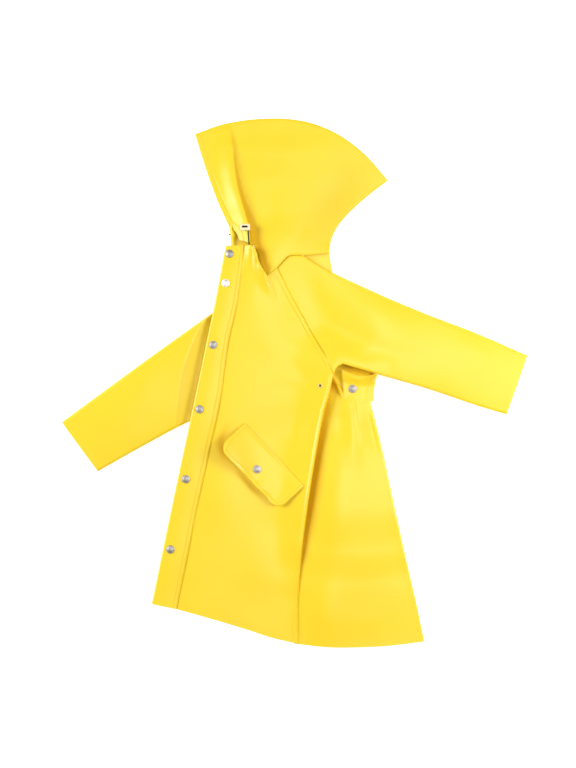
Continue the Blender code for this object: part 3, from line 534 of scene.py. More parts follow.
def wrap(name, points, wall=WALL, loop=False, hole=None, shade_to_paint=None):
    """Make a sheet through an array of points (rows from top to bottom), in mm.

    loop welds a tube shut, hole is (place, radius), and the last gives the painted shade at points.
    """
    rows, columns = points.shape[:2]
    bpy.ops.object.select_all(action="DESELECT")
    bpy.ops.mesh.primitive_grid_add(x_subdivisions=columns - 1, y_subdivisions=rows - 1, size=1.0)
    piece = bpy.context.object
    piece.name = piece.data.name = name
    metres = (points[::-1] - np.array((*MIDDLE, 0.0))) * MM
    piece.data.vertices.foreach_set("co", metres.ravel())
    # How much golden shade the material paints on each point is stored as an attribute.
    if shade_to_paint:
        depth = piece.data.attributes.new("painted_fold_shade", "FLOAT", "POINT")
        depth.data.foreach_set("value", shade_to_paint(points[..., :2])[::-1].astype(np.float32).ravel())
    piece.data.update()
    bpy.ops.object.mode_set(mode="EDIT")
    bpy.ops.mesh.select_all(action="SELECT")
    if loop:
        bpy.ops.mesh.remove_doubles(threshold=0.02 * MM)
    bpy.ops.object.mode_set(mode="OBJECT")
    if hole:
        middle, radius = placed(*hole[0], 0.0), hole[1] * MM
        pick_faces(piece, lambda face: (face.center.xy - middle.xy).length < radius)
        bpy.ops.mesh.delete(type="FACE")
        bpy.ops.object.mode_set(mode="OBJECT")
    thicken = piece.modifiers.new("wall", "SOLIDIFY")
    thicken.thickness = wall * MM
    thicken.offset = 0.0
    bpy.ops.object.modifier_apply(modifier=thicken.name)
    bpy.ops.object.shade_smooth_by_angle(angle=math.radians(CREASED))
    piece.data.materials.append(shell_cloth)
    return piece


def spans(outline, down):
    """Width of a patch at each share down, and its length along the middle."""
    sides = outline(down, np.ones_like(down)) - outline(down, np.zeros_like(down))
    middle = outline(1.0, 0.5) - outline(0.0, 0.5)
    return np.linalg.norm(sides, axis=-1), float(np.linalg.norm(middle))


def spread(outline, height, down, across, trim=(0.0, 0.0, 0.0, 0.0)):
    """Points of a single layer; trim is how far it stops short at top, right, bottom, left."""
    d, a = np.meshgrid(down, across, indexing="ij")
    top, right, bottom, left = trim
    width, length = spans(outline, d)
    plan = outline(lerp(top / length, 1.0 - bottom / length, d),
                   left / width + a * (1.0 - (left + right) / width))
    return np.concatenate([plan, height(plan, d, a, width)[..., None]], axis=-1)


def declare(piece, nodes):
    """Hang the sheet on the coat's root and hide the frame's parts that it stands for."""
    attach(piece, "root")
    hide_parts(*nodes)


# %% [markdown]
# ## Left front
# The left front is the largest panel that shows. It rises over the sleeve that lies hidden
# beneath it, stands up in a soft fold along the neckline, and ends along the side in a sharp
# lip that stands over the back. Its heights are built from these few forms, added up. Two
# golden bands of painted shadow lie where the lifted flap shades it.

# %% Left front
FRONT = 4.8                 # how high the middle of the panel lies
SEAM_DIP = 0.9              # how far a seam draws the cloth down
FOLD_REACH = 34.0           # how far the folds at the side and the neck run into the panel
FRONT_SIDE = [(0.0, 0.0, 0.0), (0.18, 1.0, 0.0), (0.29, 8.5, 1.0), (0.34, 11.0, 1.4), (0.45, 11.5, 2.0),
              (0.62, 11.0, 1.8), (0.74, 8.0, 1.4), (0.83, 3.0, 0.9), (0.9, 1.0, 0.5), (1.0, 0.5, 0.4)]
FRONT_NECK_FOLD = [(0.0, 3.5, 0.5), (0.12, 7.0, 1.0), (0.24, 9.5, 2.0), (0.4, 10.5, 2.6),
                   (0.6, 9.5, 2.2), (0.74, 4.5, 1.0), (0.85, 1.2, 0.0), (1.0, 0.5, 0.0)]
FRONT_CREASES = [
    ([(-62.0, 207.0), (-57.0, 190.0), (-50.0, 176.0)], 2.2, 3.2, -2.2),
    ([(-70.0, 200.0), (-66.0, 160.0), (-72.0, 110.0)], 14.0, 22.0, 1.3),
    ([(-36.0, 176.0), (-22.0, 120.0), (-4.0, 60.0)], 16.0, 12.0, -1.2),
    ([(-75.0, 60.0), (-40.0, 55.0), (15.0, 40.0)], 26.0, 20.0, 0.9),
    ([(-118.0, -110.0), (-112.0, -180.0), (-120.0, -260.0)], 30.0, 34.0, 1.6),
    ([(-60.0, -215.0), (-52.0, -290.0), (-66.0, -360.0)], 24.0, 36.0, 1.8),
    ([(-20.0, -180.0), (-22.0, -250.0), (-34.0, -330.0)], 20.0, 16.0, -1.5),
    ([(20.0, -20.0), (4.0, -60.0), (-2.0, -110.0)], 18.0, 14.0, -1.2),
    ([(30.0, -2.0), (-6.0, 6.0), (-42.0, 2.0)], 9.0, 12.0, 0.8),
]
EYELET, EYELET_HOLE = (40.0, -4.5), 2.6


def front_height(plan, down, across, width):
    ground = FRONT + over_sleeve(plan)
    side, inner = width * (1.0 - across), width * across
    neck = np.linalg.norm(plan - FRONT_LEFT(0.0 * down, across), axis=-1)
    fold = (read(FRONT_SIDE, down) * bell(side, FOLD_REACH)
            + read(FRONT_SIDE, down, 2) * bell(side - 2.0, 3.4))
    collar = (read(FRONT_NECK_FOLD, across) * bell(neck, FOLD_REACH)
              + read(FRONT_NECK_FOLD, across, 2) * bell(neck - 3.0, 5.0))
    swell = 2.6 * np.sin(np.pi * np.clip(across * 1.1, 0.0, 1.0)) * smoothstep(down * 4.0)
    z = ground + fold + collar + swell + creases(plan, FRONT_CREASES)
    below = smoothstep((down - ARMPIT_SHARE + 0.02) * 30.0)
    foot = lerp(z - SEAM_DIP, 2.6 + 0.0 * z, below)
    z = lerp(foot, z, rounded(side / lerp(1.6, 2.2, below)))
    open_neck = smoothstep((across - 0.1) * 12.0) * smoothstep((V_SHARE - across) * 12.0)
    foot = lerp(z - SEAM_DIP, 3.2 + 0.0 * z, open_neck)
    z = lerp(foot, z, rounded(neck / lerp(1.6, 2.4, open_neck)))
    z = z + 2.4 * bell(inner, 60.0) - 0.4 * bell(inner, 1.1)
    z = z - 0.3 * bell(side - 6.0, 1.0) * (1.0 - smoothstep((down - ARMPIT_SHARE + 0.03) * 40.0))
    return z - 0.7 * bell(np.linalg.norm(plan - np.array(EYELET), axis=-1), 7.0)


front_points = spread(FRONT_LEFT, front_height,
                      shares(250, (0.0, 0.02, 4.0), (ARMPIT_SHARE, 0.03, 1.6)),
                      shares(116, (1.0, 0.035, 5.0), (0.0, 0.02, 3.0)), trim=(0.3, 0.0, 0.0, 0.2))
# Painted shadow beside the lifted flap: its line, reach to the left, reach to the right, strength.
FRONT_PAINTED_SHADOW = [
    ([(-98.0, -56.0), (-115.0, -82.0), (-119.0, -100.0), (-110.0, -122.0), (-92.0, -142.0)],
     6.0, 7.0, 0.8),
    ([(-104.0, -124.0), (-84.0, -150.0), (-64.0, -172.0), (-42.0, -194.0)], 4.0, 4.0, 0.8),
]
left_front = wrap("left_front", front_points, hole=(EYELET, EYELET_HOLE),
                  shade_to_paint=lambda plan: creases(plan, FRONT_PAINTED_SHADOW))
declare(left_front, ["front_left"])

# %% [markdown]
# ## Right front
# The right front lies hidden under the left one. Its front edge is turned back, which gives
# the placket something firm to lie on.

# %% Right front
def folded(outline, height, down, upper, under, radius, at_right, trim=(0.0, 0.0, 0.0, 0.0)):
    """Points of one sheet folded at a side: the upper layer, round the fold, the under layer."""
    turn = np.radians(np.linspace(65.0, -65.0, 7))
    share = 1.0 if at_right else 0.0
    inward = -1.0 if at_right else 1.0
    columns = [(a, inward * radius * (a if at_right else 1.0 - a), 1.0) for a in upper]
    columns += [(share, inward * radius * (1.0 - np.cos(t)), np.sin(t)) for t in turn]
    columns += [(a, inward * radius * (a if at_right else 1.0 - a), -1.0) for a in under]
    table = np.array(columns)
    d, a = np.meshgrid(down, table[:, 0], indexing="ij")
    width, length = spans(outline, d)
    top, right, bottom, left = trim
    a_in = left / width + (a + table[:, 1] / width) * (1.0 - (left + right) / width)
    plan = outline(lerp(top / length, 1.0 - bottom / length, d), a_in)
    z = height(plan, d, a, width, np.broadcast_to(table[:, 2], d.shape))
    return np.concatenate([plan, z[..., None]], axis=-1)


LAID = 0.6                  # height of the middle of a wall that lies on the floor


def right_front_height(plan, down, across, width, side):
    return LAID + over_sleeve(plan) + 1.8 * (side + 1.0) / 2.0


TURNED_BACK = 0.22          # share of the width that the facing takes
right_front = wrap("right_front", folded(FRONT_RIGHT, right_front_height, np.linspace(0.0, 1.0, 110),
                                         np.linspace(TURNED_BACK, 0.0, 12),
                                         np.linspace(0.0, 1.0, 52), 0.9, False,
                                         trim=(1.2, 0.4, 0.0, 0.0)))
declare(right_front, ["front_right"])

# %% [markdown]
# ## Back
# The back is one panel, folded on its centre line. Its left half shows between the left
# front's lip and the fold. It is drawn in by the half belt, with a ramp up under the sleeve and
# a sharp pleat at the armpit, and springs out below the belt in a soft ridge. Beside the lip it
# lies in a deep gap, where golden shade is painted from the armpit to near the hem.

# %% Back
BACK_UPPER = 1.9
BACK_SWELL = [(0.0, 0.5, 0.4), (0.3, 0.5, 0.4), (0.42, 0.5, 2.0), (0.5, 0.46, 4.0), (0.62, 0.44, 5.0),
              (0.8, 0.4, 5.0), (0.92, 0.36, 4.0), (1.0, 0.3, 2.4)]
BACK_CREASES = [
    ([(38.0, 34.0), (66.0, 22.0), (82.0, 13.0), (98.0, 8.0), (116.0, 8.5), (136.0, 12.0),
      (176.0, 14.0)], 6.5, 9.0, 8.5),
    ([(57.0, 16.0), (61.0, 8.0), (66.5, -2.0), (72.0, -13.0), (78.0, -27.0)], 2.4, 2.8, 8.0),
    ([(90.0, 0.0), (90.5, -36.0), (91.0, -60.0), (93.5, -95.0), (97.0, -150.0)], 12.0, 13.0, 3.4),
    ([(99.0, -20.0), (99.5, -50.0), (101.0, -84.0)], 4.0, 6.0, -1.0),
    ([(40.0, -270.0), (46.0, -330.0), (52.0, -400.0), (58.0, -470.0)], 30.0, 26.0, 3.0),
    ([(74.0, -20.0), (76.0, -60.0), (82.0, -106.0)], 12.0, 12.0, -1.5),
    ([(118.0, -20.0), (124.0, -70.0), (138.0, -140.0)], 10.0, 10.0, -2.0),
    ([(60.0, -120.0), (66.0, -200.0), (74.0, -290.0)], 22.0, 26.0, 1.4),
    ([(150.0, -190.0), (160.0, -270.0), (176.0, -350.0)], 18.0, 14.0, -1.0),
]
BACK_BANK = [(0.0, 0.0, 10.0), (0.34, 0.0, 10.0), (0.4, 3.0, 16.0), (0.46, 4.5, 16.0),
             (0.54, 6.5, 14.0), (0.66, 8.0, 18.0), (0.76, 5.0, 12.0), (0.84, 2.0, 8.0), (1.0, 0.0, 6.0)]
SIDE_LINE = line_of(SIDE, 50)


def back_height(plan, down, across, width, side):
    crest = read(BACK_SWELL, down, 1)
    place = np.where(across < crest, across / crest, (1.0 - across) / (1.0 - crest))
    swell = read(BACK_SWELL, down, 2) * smoothstep(place) ** 1.2
    edge = width * (1.0 - across) / 7.0
    lip = np.maximum(from_line(plan, SIDE_LINE)[0], 0.0)
    bank = read(BACK_BANK, down) * levelling(lip / read(BACK_BANK, down, 2))
    upper = BACK_UPPER + 1.2 * rounded(edge) + swell + bank
    upper = np.maximum(upper + creases(plan, BACK_CREASES) * smoothstep(edge), BACK_UPPER)
    return over_belt(plan) + lerp(LAID, upper, (side + 1.0) / 2.0)


# Painted golden shade in the gap beside the lip: share down the gap, reach, strength.
BACK_GAP_PAINTED_SHADE = [(0.0, 4.0, 0.4), (0.12, 12.0, 0.8), (0.25, 17.0, 0.9), (0.38, 21.0, 1.0), (0.51, 23.0, 1.0),
             (0.64, 22.0, 1.0), (0.83, 15.0, 0.8), (0.96, 7.0, 0.3), (1.0, 5.0, 0.0)]
GAP_TOP, GAP_RUN = -14.0, 306.0     # where the gap beside the lip starts, and how far it runs
# Painted shade under the arm, and in the hollow under the sleeve's lower edge.
ARMPIT_PAINTED_SHADE = [([(44.0, 20.0), (58.0, 6.0), (66.0, -8.0), (70.0, -30.0)], 5.0, 9.0, 0.9)]
CAVE_PAINTED_SHADE = [([(50.0, 30.0), (75.0, 25.0), (100.0, 21.0), (124.0, 15.0), (150.0, 8.0)],
              9.0, 7.0, 1.3)]


def back_shade_to_paint(plan):
    """Painted golden shade in the gap beside the front's lip, from the armpit to near the hem, and under
    the arm.
    """
    away, along = from_line(plan, SIDE_LINE)[0], (GAP_TOP - plan[..., 1]) / GAP_RUN
    reach = read(BACK_GAP_PAINTED_SHADE, along)
    gap = np.where(away > -TUCKED, 1.0 - smoothstep((away / reach - 0.3) / 0.8), 0.0)
    under_arm = creases(plan, ARMPIT_PAINTED_SHADE) + creases(plan, CAVE_PAINTED_SHADE)
    return np.clip(gap * read(BACK_GAP_PAINTED_SHADE, along, 2) + under_arm, 0.0, 1.0)


back = wrap("back_panel", folded(BACK, back_height, shares(250, (0.36, 0.05, 2.0)),
                                 shares(96, (0.35, 0.25, 1.6)), np.linspace(1.0, 0.0, 30), 1.4,
                                 True), shade_to_paint=back_shade_to_paint)
declare(back, ["back"])

# %% [markdown]
# ## Placket
# The placket is a band of the same cloth, folded double, that hides the opening. It is sewn
# down along its inner edge and topstitched again a few millimetres in. Its outer edge is a
# soft fold, and each snap presses a shallow dish into it.

# %% Placket
PLACKET, PLACKET_WALL = 8.2, 1.9    # how high the band lies, and how thick its layers are
SNAPS = [("snap_1", -104.5, 206.0), ("snap_2", -110.5, 159.0), ("snap_3", -130.5, 60.5),
         ("snap_4", -152.0, -42.0), ("snap_5", -174.0, -153.5), ("snap_6", -198.5, -265.5)]
SNAP_POCKET, SNAP_BELT = (-60.5, -137.5), (92.0, -9.5)
STITCH_INSET = 6.0


def dish(plan, place, reach=9.0, depth=0.5):
    """The shallow hollow that a snap presses into the cloth round it."""
    return -depth * bell(np.linalg.norm(plan - np.array(place), axis=-1), reach)


def placket_height(plan, down, across, width):
    inner, outer = width * (1.0 - across), width * across
    z = PLACKET + over_sleeve(plan) + 1.0 * np.sin(np.pi * across) + 0.35 * np.sin(down * 31.0)
    z = z - 0.45 * bell(inner, 1.1) - 0.35 * bell(inner - STITCH_INSET, 0.9)
    z = z - (1.0 - rounded(outer / 2.5))
    for name, x, y in SNAPS:
        z = z + dish(plan, (x, y))
    return z


placket = wrap("snap_placket", spread(PLACKET_BAND, placket_height, shares(240, (0.0, 0.01, 3.0)),
                                      shares(46, (1.0, 0.22, 1.8))), wall=PLACKET_WALL)
declare(placket, ["placket"])

# %% [markdown]
# ## Sleeves
# Each sleeve is a tube pressed flat, so its grid runs round both edges and is welded into a
# loop. The left one lies on top and is lifted at the armpit. The right one comes out from
# under the placket, where its cloth first dips and then rises over a soft crease.

# %% Sleeve tubes
def tube(outline, height, down, across, radius, trim=0.0):
    """Points of a flat tube: over the top from left to right, and back beneath."""
    turn = np.radians(np.linspace(60.0, -60.0, 6))
    columns = [(a, radius * (1.0 - 2.0 * a), 1.0) for a in across]
    columns += [(1.0, -radius * (1.0 - np.cos(t)), np.sin(t)) for t in turn]
    columns += [(a, radius * (1.0 - 2.0 * a), -1.0) for a in across[::-2]]
    columns += [(0.0, radius * (1.0 - np.cos(t)), -np.sin(t)) for t in turn]
    columns.append(columns[0])
    table = np.array(columns)
    d, a = np.meshgrid(down, table[:, 0], indexing="ij")
    width, length = spans(outline, d)
    plan = outline(lerp(trim / length, 1.0, d), a + table[:, 1] / width)
    z = height(plan, d, a, width, np.broadcast_to(table[:, 2], d.shape), length)
    return np.concatenate([plan, z[..., None]], axis=-1)


def fullness(across, width):
    """A flattened tube: round at its edges, nearly level between them."""
    edge = np.minimum(across, 1.0 - across) * width / 1.8
    return 0.36 * rounded(edge) + 0.64 * np.sin(np.pi * np.clip(across, 0.0, 1.0)) ** 0.8


# %% Left sleeve
ARM_UNDER, ARM_UPPER = 5.4, 8.6     # its two layers, where it is sewn to the coat
LEFT_ARM_CREASES = [
    ([(0.0, 190.0), (30.0, 130.0), (62.0, 60.0)], 20.0, 15.0, -1.6),
    ([(60.0, 140.0), (130.0, 110.0), (215.0, 70.0)], 26.0, 34.0, 1.7),
    ([(110.0, 60.0), (170.0, 45.0), (230.0, 26.0)], 18.0, 14.0, -1.2),
    ([(230.0, 80.0), (290.0, 48.0), (340.0, 20.0)], 20.0, 24.0, 1.3),
    ([(84.0, 42.0), (120.0, 58.0), (150.0, 90.0)], 14.0, 10.0, 1.0),
]


def left_arm_height(plan, down, across, width, side, length):
    settled = smoothstep((down - 0.34) / 0.3)
    under = lerp(ARM_UNDER, LAID, settled) + over_belt(plan) * (1.0 - settled)
    lift = 9.5 * smoothstep((across - 0.6) / 0.38) * (1.0 - smoothstep((down - 0.1) / 0.34))
    layers = lerp(ARM_UPPER - ARM_UNDER, 2.2, settled)
    swell = 7.0 * smoothstep(down * 2.6) * lerp(1.0, 0.5, smoothstep((down - 0.6) / 0.4))
    top = layers + swell * fullness(across, width) + creases(plan, LEFT_ARM_CREASES)
    top = top - SEAM_DIP * (1.0 - rounded(down * length / 1.8))
    return under + lift + (side + 1.0) / 2.0 * top


left_sleeve = wrap("left_sleeve", tube(SLEEVE_LEFT, left_arm_height, shares(170, (0.0, 0.03, 4.0)),
                                       shares(72, (1.0, 0.06, 2.0), (0.0, 0.05, 2.0)), 1.4, 0.2),
                   loop=True)
declare(left_sleeve, ["sleeve_left"])

# %% Right sleeve
PLACKET_LINE = line_of(PLACKET_OUTER, 40)
DIP_CREST = line_of([(-127.0, 122.0), (-150.0, 92.0), (-168.0, 54.0), (-180.0, 16.0), (-188.0, -48.0),
                     (-190.0, -80.0)], 24)
RIGHT_ARM_CREASES = [
    ([(-190.0, 62.0), (-240.0, 10.0), (-290.0, -40.0)], 20.0, 28.0, 1.2),
    ([(-200.0, -30.0), (-250.0, -60.0), (-310.0, -100.0)], 22.0, 18.0, -1.0),
    ([(-215.0, 20.0), (-262.0, -62.0), (-290.0, -110.0)], 24.0, 24.0, 0.9),
]


def right_arm_height(plan, down, across, width, side, length):
    to_placket = -from_line(plan, PLACKET_LINE)[0]
    to_crest = from_line(plan, DIP_CREST)[0]
    between = np.maximum(to_placket + np.maximum(to_crest, 0.0), 0.1)
    out = np.clip(to_placket / between, 0.0, 1.0) ** 1.35
    out = np.where(to_placket < 0.0, 0.0, np.where(to_crest < 0.0, 1.0, out))
    beyond = smoothstep((down - 0.8) / 0.2)
    top = 1.6 + out * (2.6 + 7.4 * fullness(across, width) * lerp(1.0, 0.55, beyond))
    top = top + out * creases(plan, RIGHT_ARM_CREASES)
    return LAID + (side + 1.0) / 2.0 * top


right_sleeve = wrap("right_sleeve", tube(SLEEVE_RIGHT, right_arm_height, shares(190, (0.62, 0.2, 1.8)),
                                         shares(60, (1.0, 0.05, 2.0), (0.0, 0.05, 2.0)), 1.1, 0.4),
                    loop=True)
declare(right_sleeve, ["sleeve_right"])

# %% [markdown]
# ## Hood
# The hood lies flat in two halves. The upper half has one big fold behind its front edge: it
# climbs to a crest, drops into a valley that is deep near the neck, where golden shade is
# painted in, and then swells a little towards the back, where a faint shade is painted over
# the slack cloth.

# %% Left half of the hood
HOOD_FOLD = [(0.0, 0.4), (0.08, 2.0), (0.2, 5.5), (0.45, 9.5), (0.7, 13.0), (0.88, 14.0), (1.0, 13.5)]
HOOD_CREASES = [
    ([(-30.0, 190.0), (30.0, 290.0), (90.0, 430.0)], 46.0, 40.0, 1.5),
    ([(52.0, 250.0), (66.0, 290.0), (100.0, 330.0)], 22.0, 16.0, -1.4),
    ([(-60.0, 330.0), (-40.0, 280.0), (-36.0, 230.0)], 16.0, 22.0, -1.0),
    ([(-110.0, 400.0), (0.0, 372.0), (110.0, 400.0)], 26.0, 30.0, 0.8),
    ([(0.0, 214.0), (12.0, 240.0), (18.0, 268.0)], 8.0, 9.0, -0.9),
]
HOOD_EDGE_LINE = np.concatenate([line_of(HOOD_FRONT_EDGE, 30), line_of(HOOD_CHIN_EDGE, 8)[1:]])
HOOD_CREST_ROUTE = CREST_LINE(np.linspace(0.0, 1.0, 40))
HOOD_VALLEY = np.concatenate([HOOD_CREST_ROUTE, line_of(FRONT_NECK[3:], 10)[1:]])
HOOD_BANK = [(0.0, 7.0, 0.0), (0.15, 9.0, 1.4), (0.35, 14.0, 3.0), (0.55, 20.0, 4.0), (0.75, 26.0, 4.6),
             (1.0, 24.0, 4.2)]
HOOD_HEM = 8.0
HOOD_LENGTH, NECK_SEAM = 245.0, 200.0       # crown to neck, and to the level of the neck seam
VALLEY_TOP, VALLEY_RUN = 400.0, 228.0       # where the valley starts, and how far it runs down


def down_valley(plan):
    return (VALLEY_TOP - plan[..., 1]) / VALLEY_RUN


def left_hood_height(plan, down, across, width):
    ground = over_sleeve(plan)
    crest_away, crest_share = from_line(plan, HOOD_CREST_ROUTE)
    fold = read(HOOD_FOLD, crest_share)
    left_of = bell(crest_away, lerp(24.0, 20.0, crest_share))
    right_of = bell(crest_away, lerp(4.0, 7.0, crest_share))
    ridge = fold * np.where(crest_away < 0.0, left_of, right_of)
    far = np.clip((across - FOOT_SHARE) / (1.0 - FOOT_SHARE), 0.0, 1.0)
    valley_away = from_line(plan, HOOD_VALLEY)[0]
    valley_share = down_valley(plan)
    beyond = np.maximum(valley_away, 0.0)
    reach = read(HOOD_BANK, valley_share)
    bank = read(HOOD_BANK, valley_share, 2) * levelling(beyond / reach)
    bank = bank * (1.0 - 0.6 * smoothstep((beyond - reach) / 120.0))
    swell = 2.4 * np.sin(np.pi * far) ** 1.1 * np.sin(np.pi * (0.3 + 0.55 * down))
    z = 2.6 + ground + ridge + bank + swell + creases(plan, HOOD_CREASES) * smoothstep(far * 6.0)
    rim = np.minimum(down * HOOD_LENGTH, width * (1.0 - across))
    z = lerp(z - 1.6, z, rounded(rim / 2.6))
    seam = (1.0 - down) * NECK_SEAM
    sewn = bell(seam, 16.0) * smoothstep((far - 0.06) * 6.0)
    z = lerp(z, 7.4 + ground, sewn) - SEAM_DIP * bell(seam, 1.6) * smoothstep(far * 4.0)
    from_edge = np.abs(from_line(plan, HOOD_EDGE_LINE)[0])
    return z - 0.45 * bell(from_edge - HOOD_HEM, 1.1)


# Painted golden shade down the valley (share, reach, strength), then faint painted shade on slack cloth.
HOOD_VALLEY_PAINTED_SHADE = [(0.0, 3.0, 0.0), (0.08, 3.5, 0.35), (0.19, 5.5, 0.65), (0.36, 7.5, 0.85), (0.47, 9.5, 0.95),
             (0.61, 15.0, 1.0), (0.72, 21.0, 1.0), (0.82, 24.0, 1.0), (0.93, 18.0, 1.0), (1.0, 6.0, 0.9)]
SLACK_PAINTED_SHADE = [([(150.0, 400.0), (98.0, 325.0), (57.0, 269.0), (25.0, 229.0), (-20.0, 180.0)],
               38.0, 38.0, 0.3)]


def hood_shade_to_paint(plan):
    """How much golden shade is painted on a point: in the valley, and faintly over the slack cloth."""
    away, along = from_line(plan, HOOD_VALLEY)[0], down_valley(plan)
    reach = read(HOOD_VALLEY_PAINTED_SHADE, along)
    soft = 1.0 - smoothstep((away / reach - 0.35) / 0.7)
    valley = np.where(away > -0.4, soft, 0.0) * read(HOOD_VALLEY_PAINTED_SHADE, along, 2)
    return np.clip(valley + creases(plan, SLACK_PAINTED_SHADE), 0.0, 1.0)


left_hood = wrap("left_hood", spread(HOOD_LEFT, left_hood_height, shares(150, (1.0, 0.03, 3.0)),
                                     shares(200, (0.247, 0.03, 5.0), (0.0, 0.1, 2.0)),
                                     trim=(0.0, 0.0, 0.4, 0.0)), shade_to_paint=hood_shade_to_paint)
declare(left_hood, ["hood_left"])


# %% Right half of the hood
CORD_HOLE = (-97.5, 238.5)
CHIN_CREASE = [([(-106.0, 292.0), (-100.5, 245.0), (-99.5, 228.0), (-98.0, 190.0)], 3.4, 2.6, 6.0)]


def right_hood_height(plan, down, across, width):
    cord = np.linalg.norm(plan - np.array(CORD_HOLE), axis=-1)
    return LAID + over_sleeve(plan) + 3.4 * bell(cord, 7.0) + creases(plan, CHIN_CREASE)


right_hood = wrap("right_hood", spread(HOOD_RIGHT, right_hood_height, np.linspace(0.0, 1.0, 80),
                                       shares(90, (0.247, 0.03, 3.0)), trim=(1.2, 1.2, 1.6, 0.0)))
declare(right_hood, ["hood_right"])

# %% [markdown]
# ## Pocket flap and half belt
# The flap is sewn along its upper slanting edge and closed with one snap. Its front corner
# lifts off the coat and throws a soft shadow. The half belt wraps round the centre back.

# %% Surfaces to rest on
ABOVE = 100.0               # every drop starts this high


def tree_of(piece):
    """A search tree that finds where a straight drop meets the piece."""
    return BVHTree.FromObject(piece, bpy.context.evaluated_depsgraph_get())


def drop(tree, x, y):
    """Height and normal of the piece straight below a point, all in mm."""
    spot, normal, index, away = tree.ray_cast(placed(x, y, ABOVE), Vector((0.0, 0.0, -1.0)))
    if spot is None:
        return None, None
    return spot.z / MM, normal


front_tree = tree_of(left_front)
print("below the flap's snap the front lies", round(drop(front_tree, *SNAP_POCKET)[0], 1), "mm up")

# %% Pocket flap
FLAP_WALL, FLAP_INSET = 1.6, 5.0    # two layers, pressed, and stitched this far in


def flap_height(plan, down, across, width):
    base = np.array([[drop(front_tree, x, y)[0] or FRONT for x, y in row] for row in plan])
    lift = 14.5 * down ** 1.3 * (1.0 - smoothstep(across / 0.6)) + 4.0 * down
    wave = 3.4 * down ** 2 * bell(across - 0.7, 0.13) + 1.6 * down * bell(across - 0.98, 0.1)
    edge = np.minimum(np.minimum(width * across, width * (1.0 - across)), (1.0 - down) * FLAP_DEPTH)
    z = base + FLAP_WALL / 2.0 + 0.2 + 1.1 * smoothstep(down * 8.0) + lift + wave
    z = z - 0.35 * bell(edge - FLAP_INSET, 1.0) - 0.5 * (1.0 - smoothstep(edge / 2.0))
    return z + dish(plan, SNAP_POCKET, 9.0, 0.6)


pocket_flap = wrap("pocket_flap_cloth", spread(flap_outline, flap_height, shares(52, (1.0, 0.1, 2.0)),
                                               shares(100, (0.0, 0.05, 2.0), (1.0, 0.05, 2.0))),
                   wall=FLAP_WALL)
declare(pocket_flap, ["pocket_flap"])


# %% Half belt
def belt_height(plan, down, across, width, side):
    upper = 7.2 + 1.4 * np.sin(np.pi * np.clip(across, 0.0, 1.0)) ** 0.6
    upper = upper + (5.0 + 5.0 * smoothstep((across - 0.7) / 0.3)) * (1.0 - smoothstep(down * 2.4))
    upper = upper + 1.2 * bell(across, 0.12) + dish(plan, SNAP_BELT, 9.0, 0.7)
    upper = upper - 2.2 * smoothstep((across - 0.72) / 0.28) * smoothstep(down * 2.4)
    return lerp(LAID, upper, (side + 1.0) / 2.0)


# The belt's top edge takes the same painted shade as the hollow under the sleeve.
half_belt = wrap("half_belt_cloth", folded(BELT, belt_height, np.linspace(0.0, 1.0, 44),
                                           np.linspace(0.0, 1.0, 40), np.linspace(1.0, 0.0, 16), 2.6,
                                           True), wall=FLAP_WALL,
                 shade_to_paint=lambda plan: np.clip(creases(plan, CAVE_PAINTED_SHADE), 0.0, 1.0))
declare(half_belt, ["half_belt"])

# %% [markdown]
# ## Stitching
# The coat is topstitched with thick polyester thread in a slightly deeper yellow. One stitch
# is modelled as a short rounded bar, and each row is made of copies of it laid along a line
# on the cloth, pressed a little into it.

# %% Thread
thread = mottled("polyester_thread", "#E3BE0E", "#E9C814", 0.9, 0.55)
STITCH, THREAD, PITCH = 2.3, 0.3, 3.1       # length and radius of a stitch, and their spacing
ON_CLOTH = 0.05             # how far the thread's middle stands off the cloth


def one_stitch():
    """A bar along X with pinched, rounded ends."""
    bpy.ops.object.select_all(action="DESELECT")
    bpy.ops.mesh.primitive_cylinder_add(vertices=6, radius=THREAD * MM, depth=STITCH * 0.6 * MM,
                                        rotation=(0.0, math.pi / 2.0, 0.0))
    bar = bpy.context.object
    bpy.ops.object.transform_apply(location=True, rotation=True, scale=True)
    for end in (-1.0, 1.0):
        pick_faces(bar, lambda face: face.normal.x * end > 0.9)
        bpy.ops.mesh.extrude_region_move(
            TRANSFORM_OT_translate={"value": (end * STITCH * 0.2 * MM, 0, 0)})
        bpy.ops.transform.resize(value=(1.0, 0.35, 0.35),
                                 center_override=(end * STITCH / 2 * MM, 0, 0))
        bpy.ops.object.mode_set(mode="OBJECT")
    points = np.array([v.co[:] for v in bar.data.vertices])
    faces = [tuple(f.vertices) for f in bar.data.polygons]
    bpy.data.objects.remove(bar)
    return points, faces


stitch_points, stitch_faces = one_stitch()


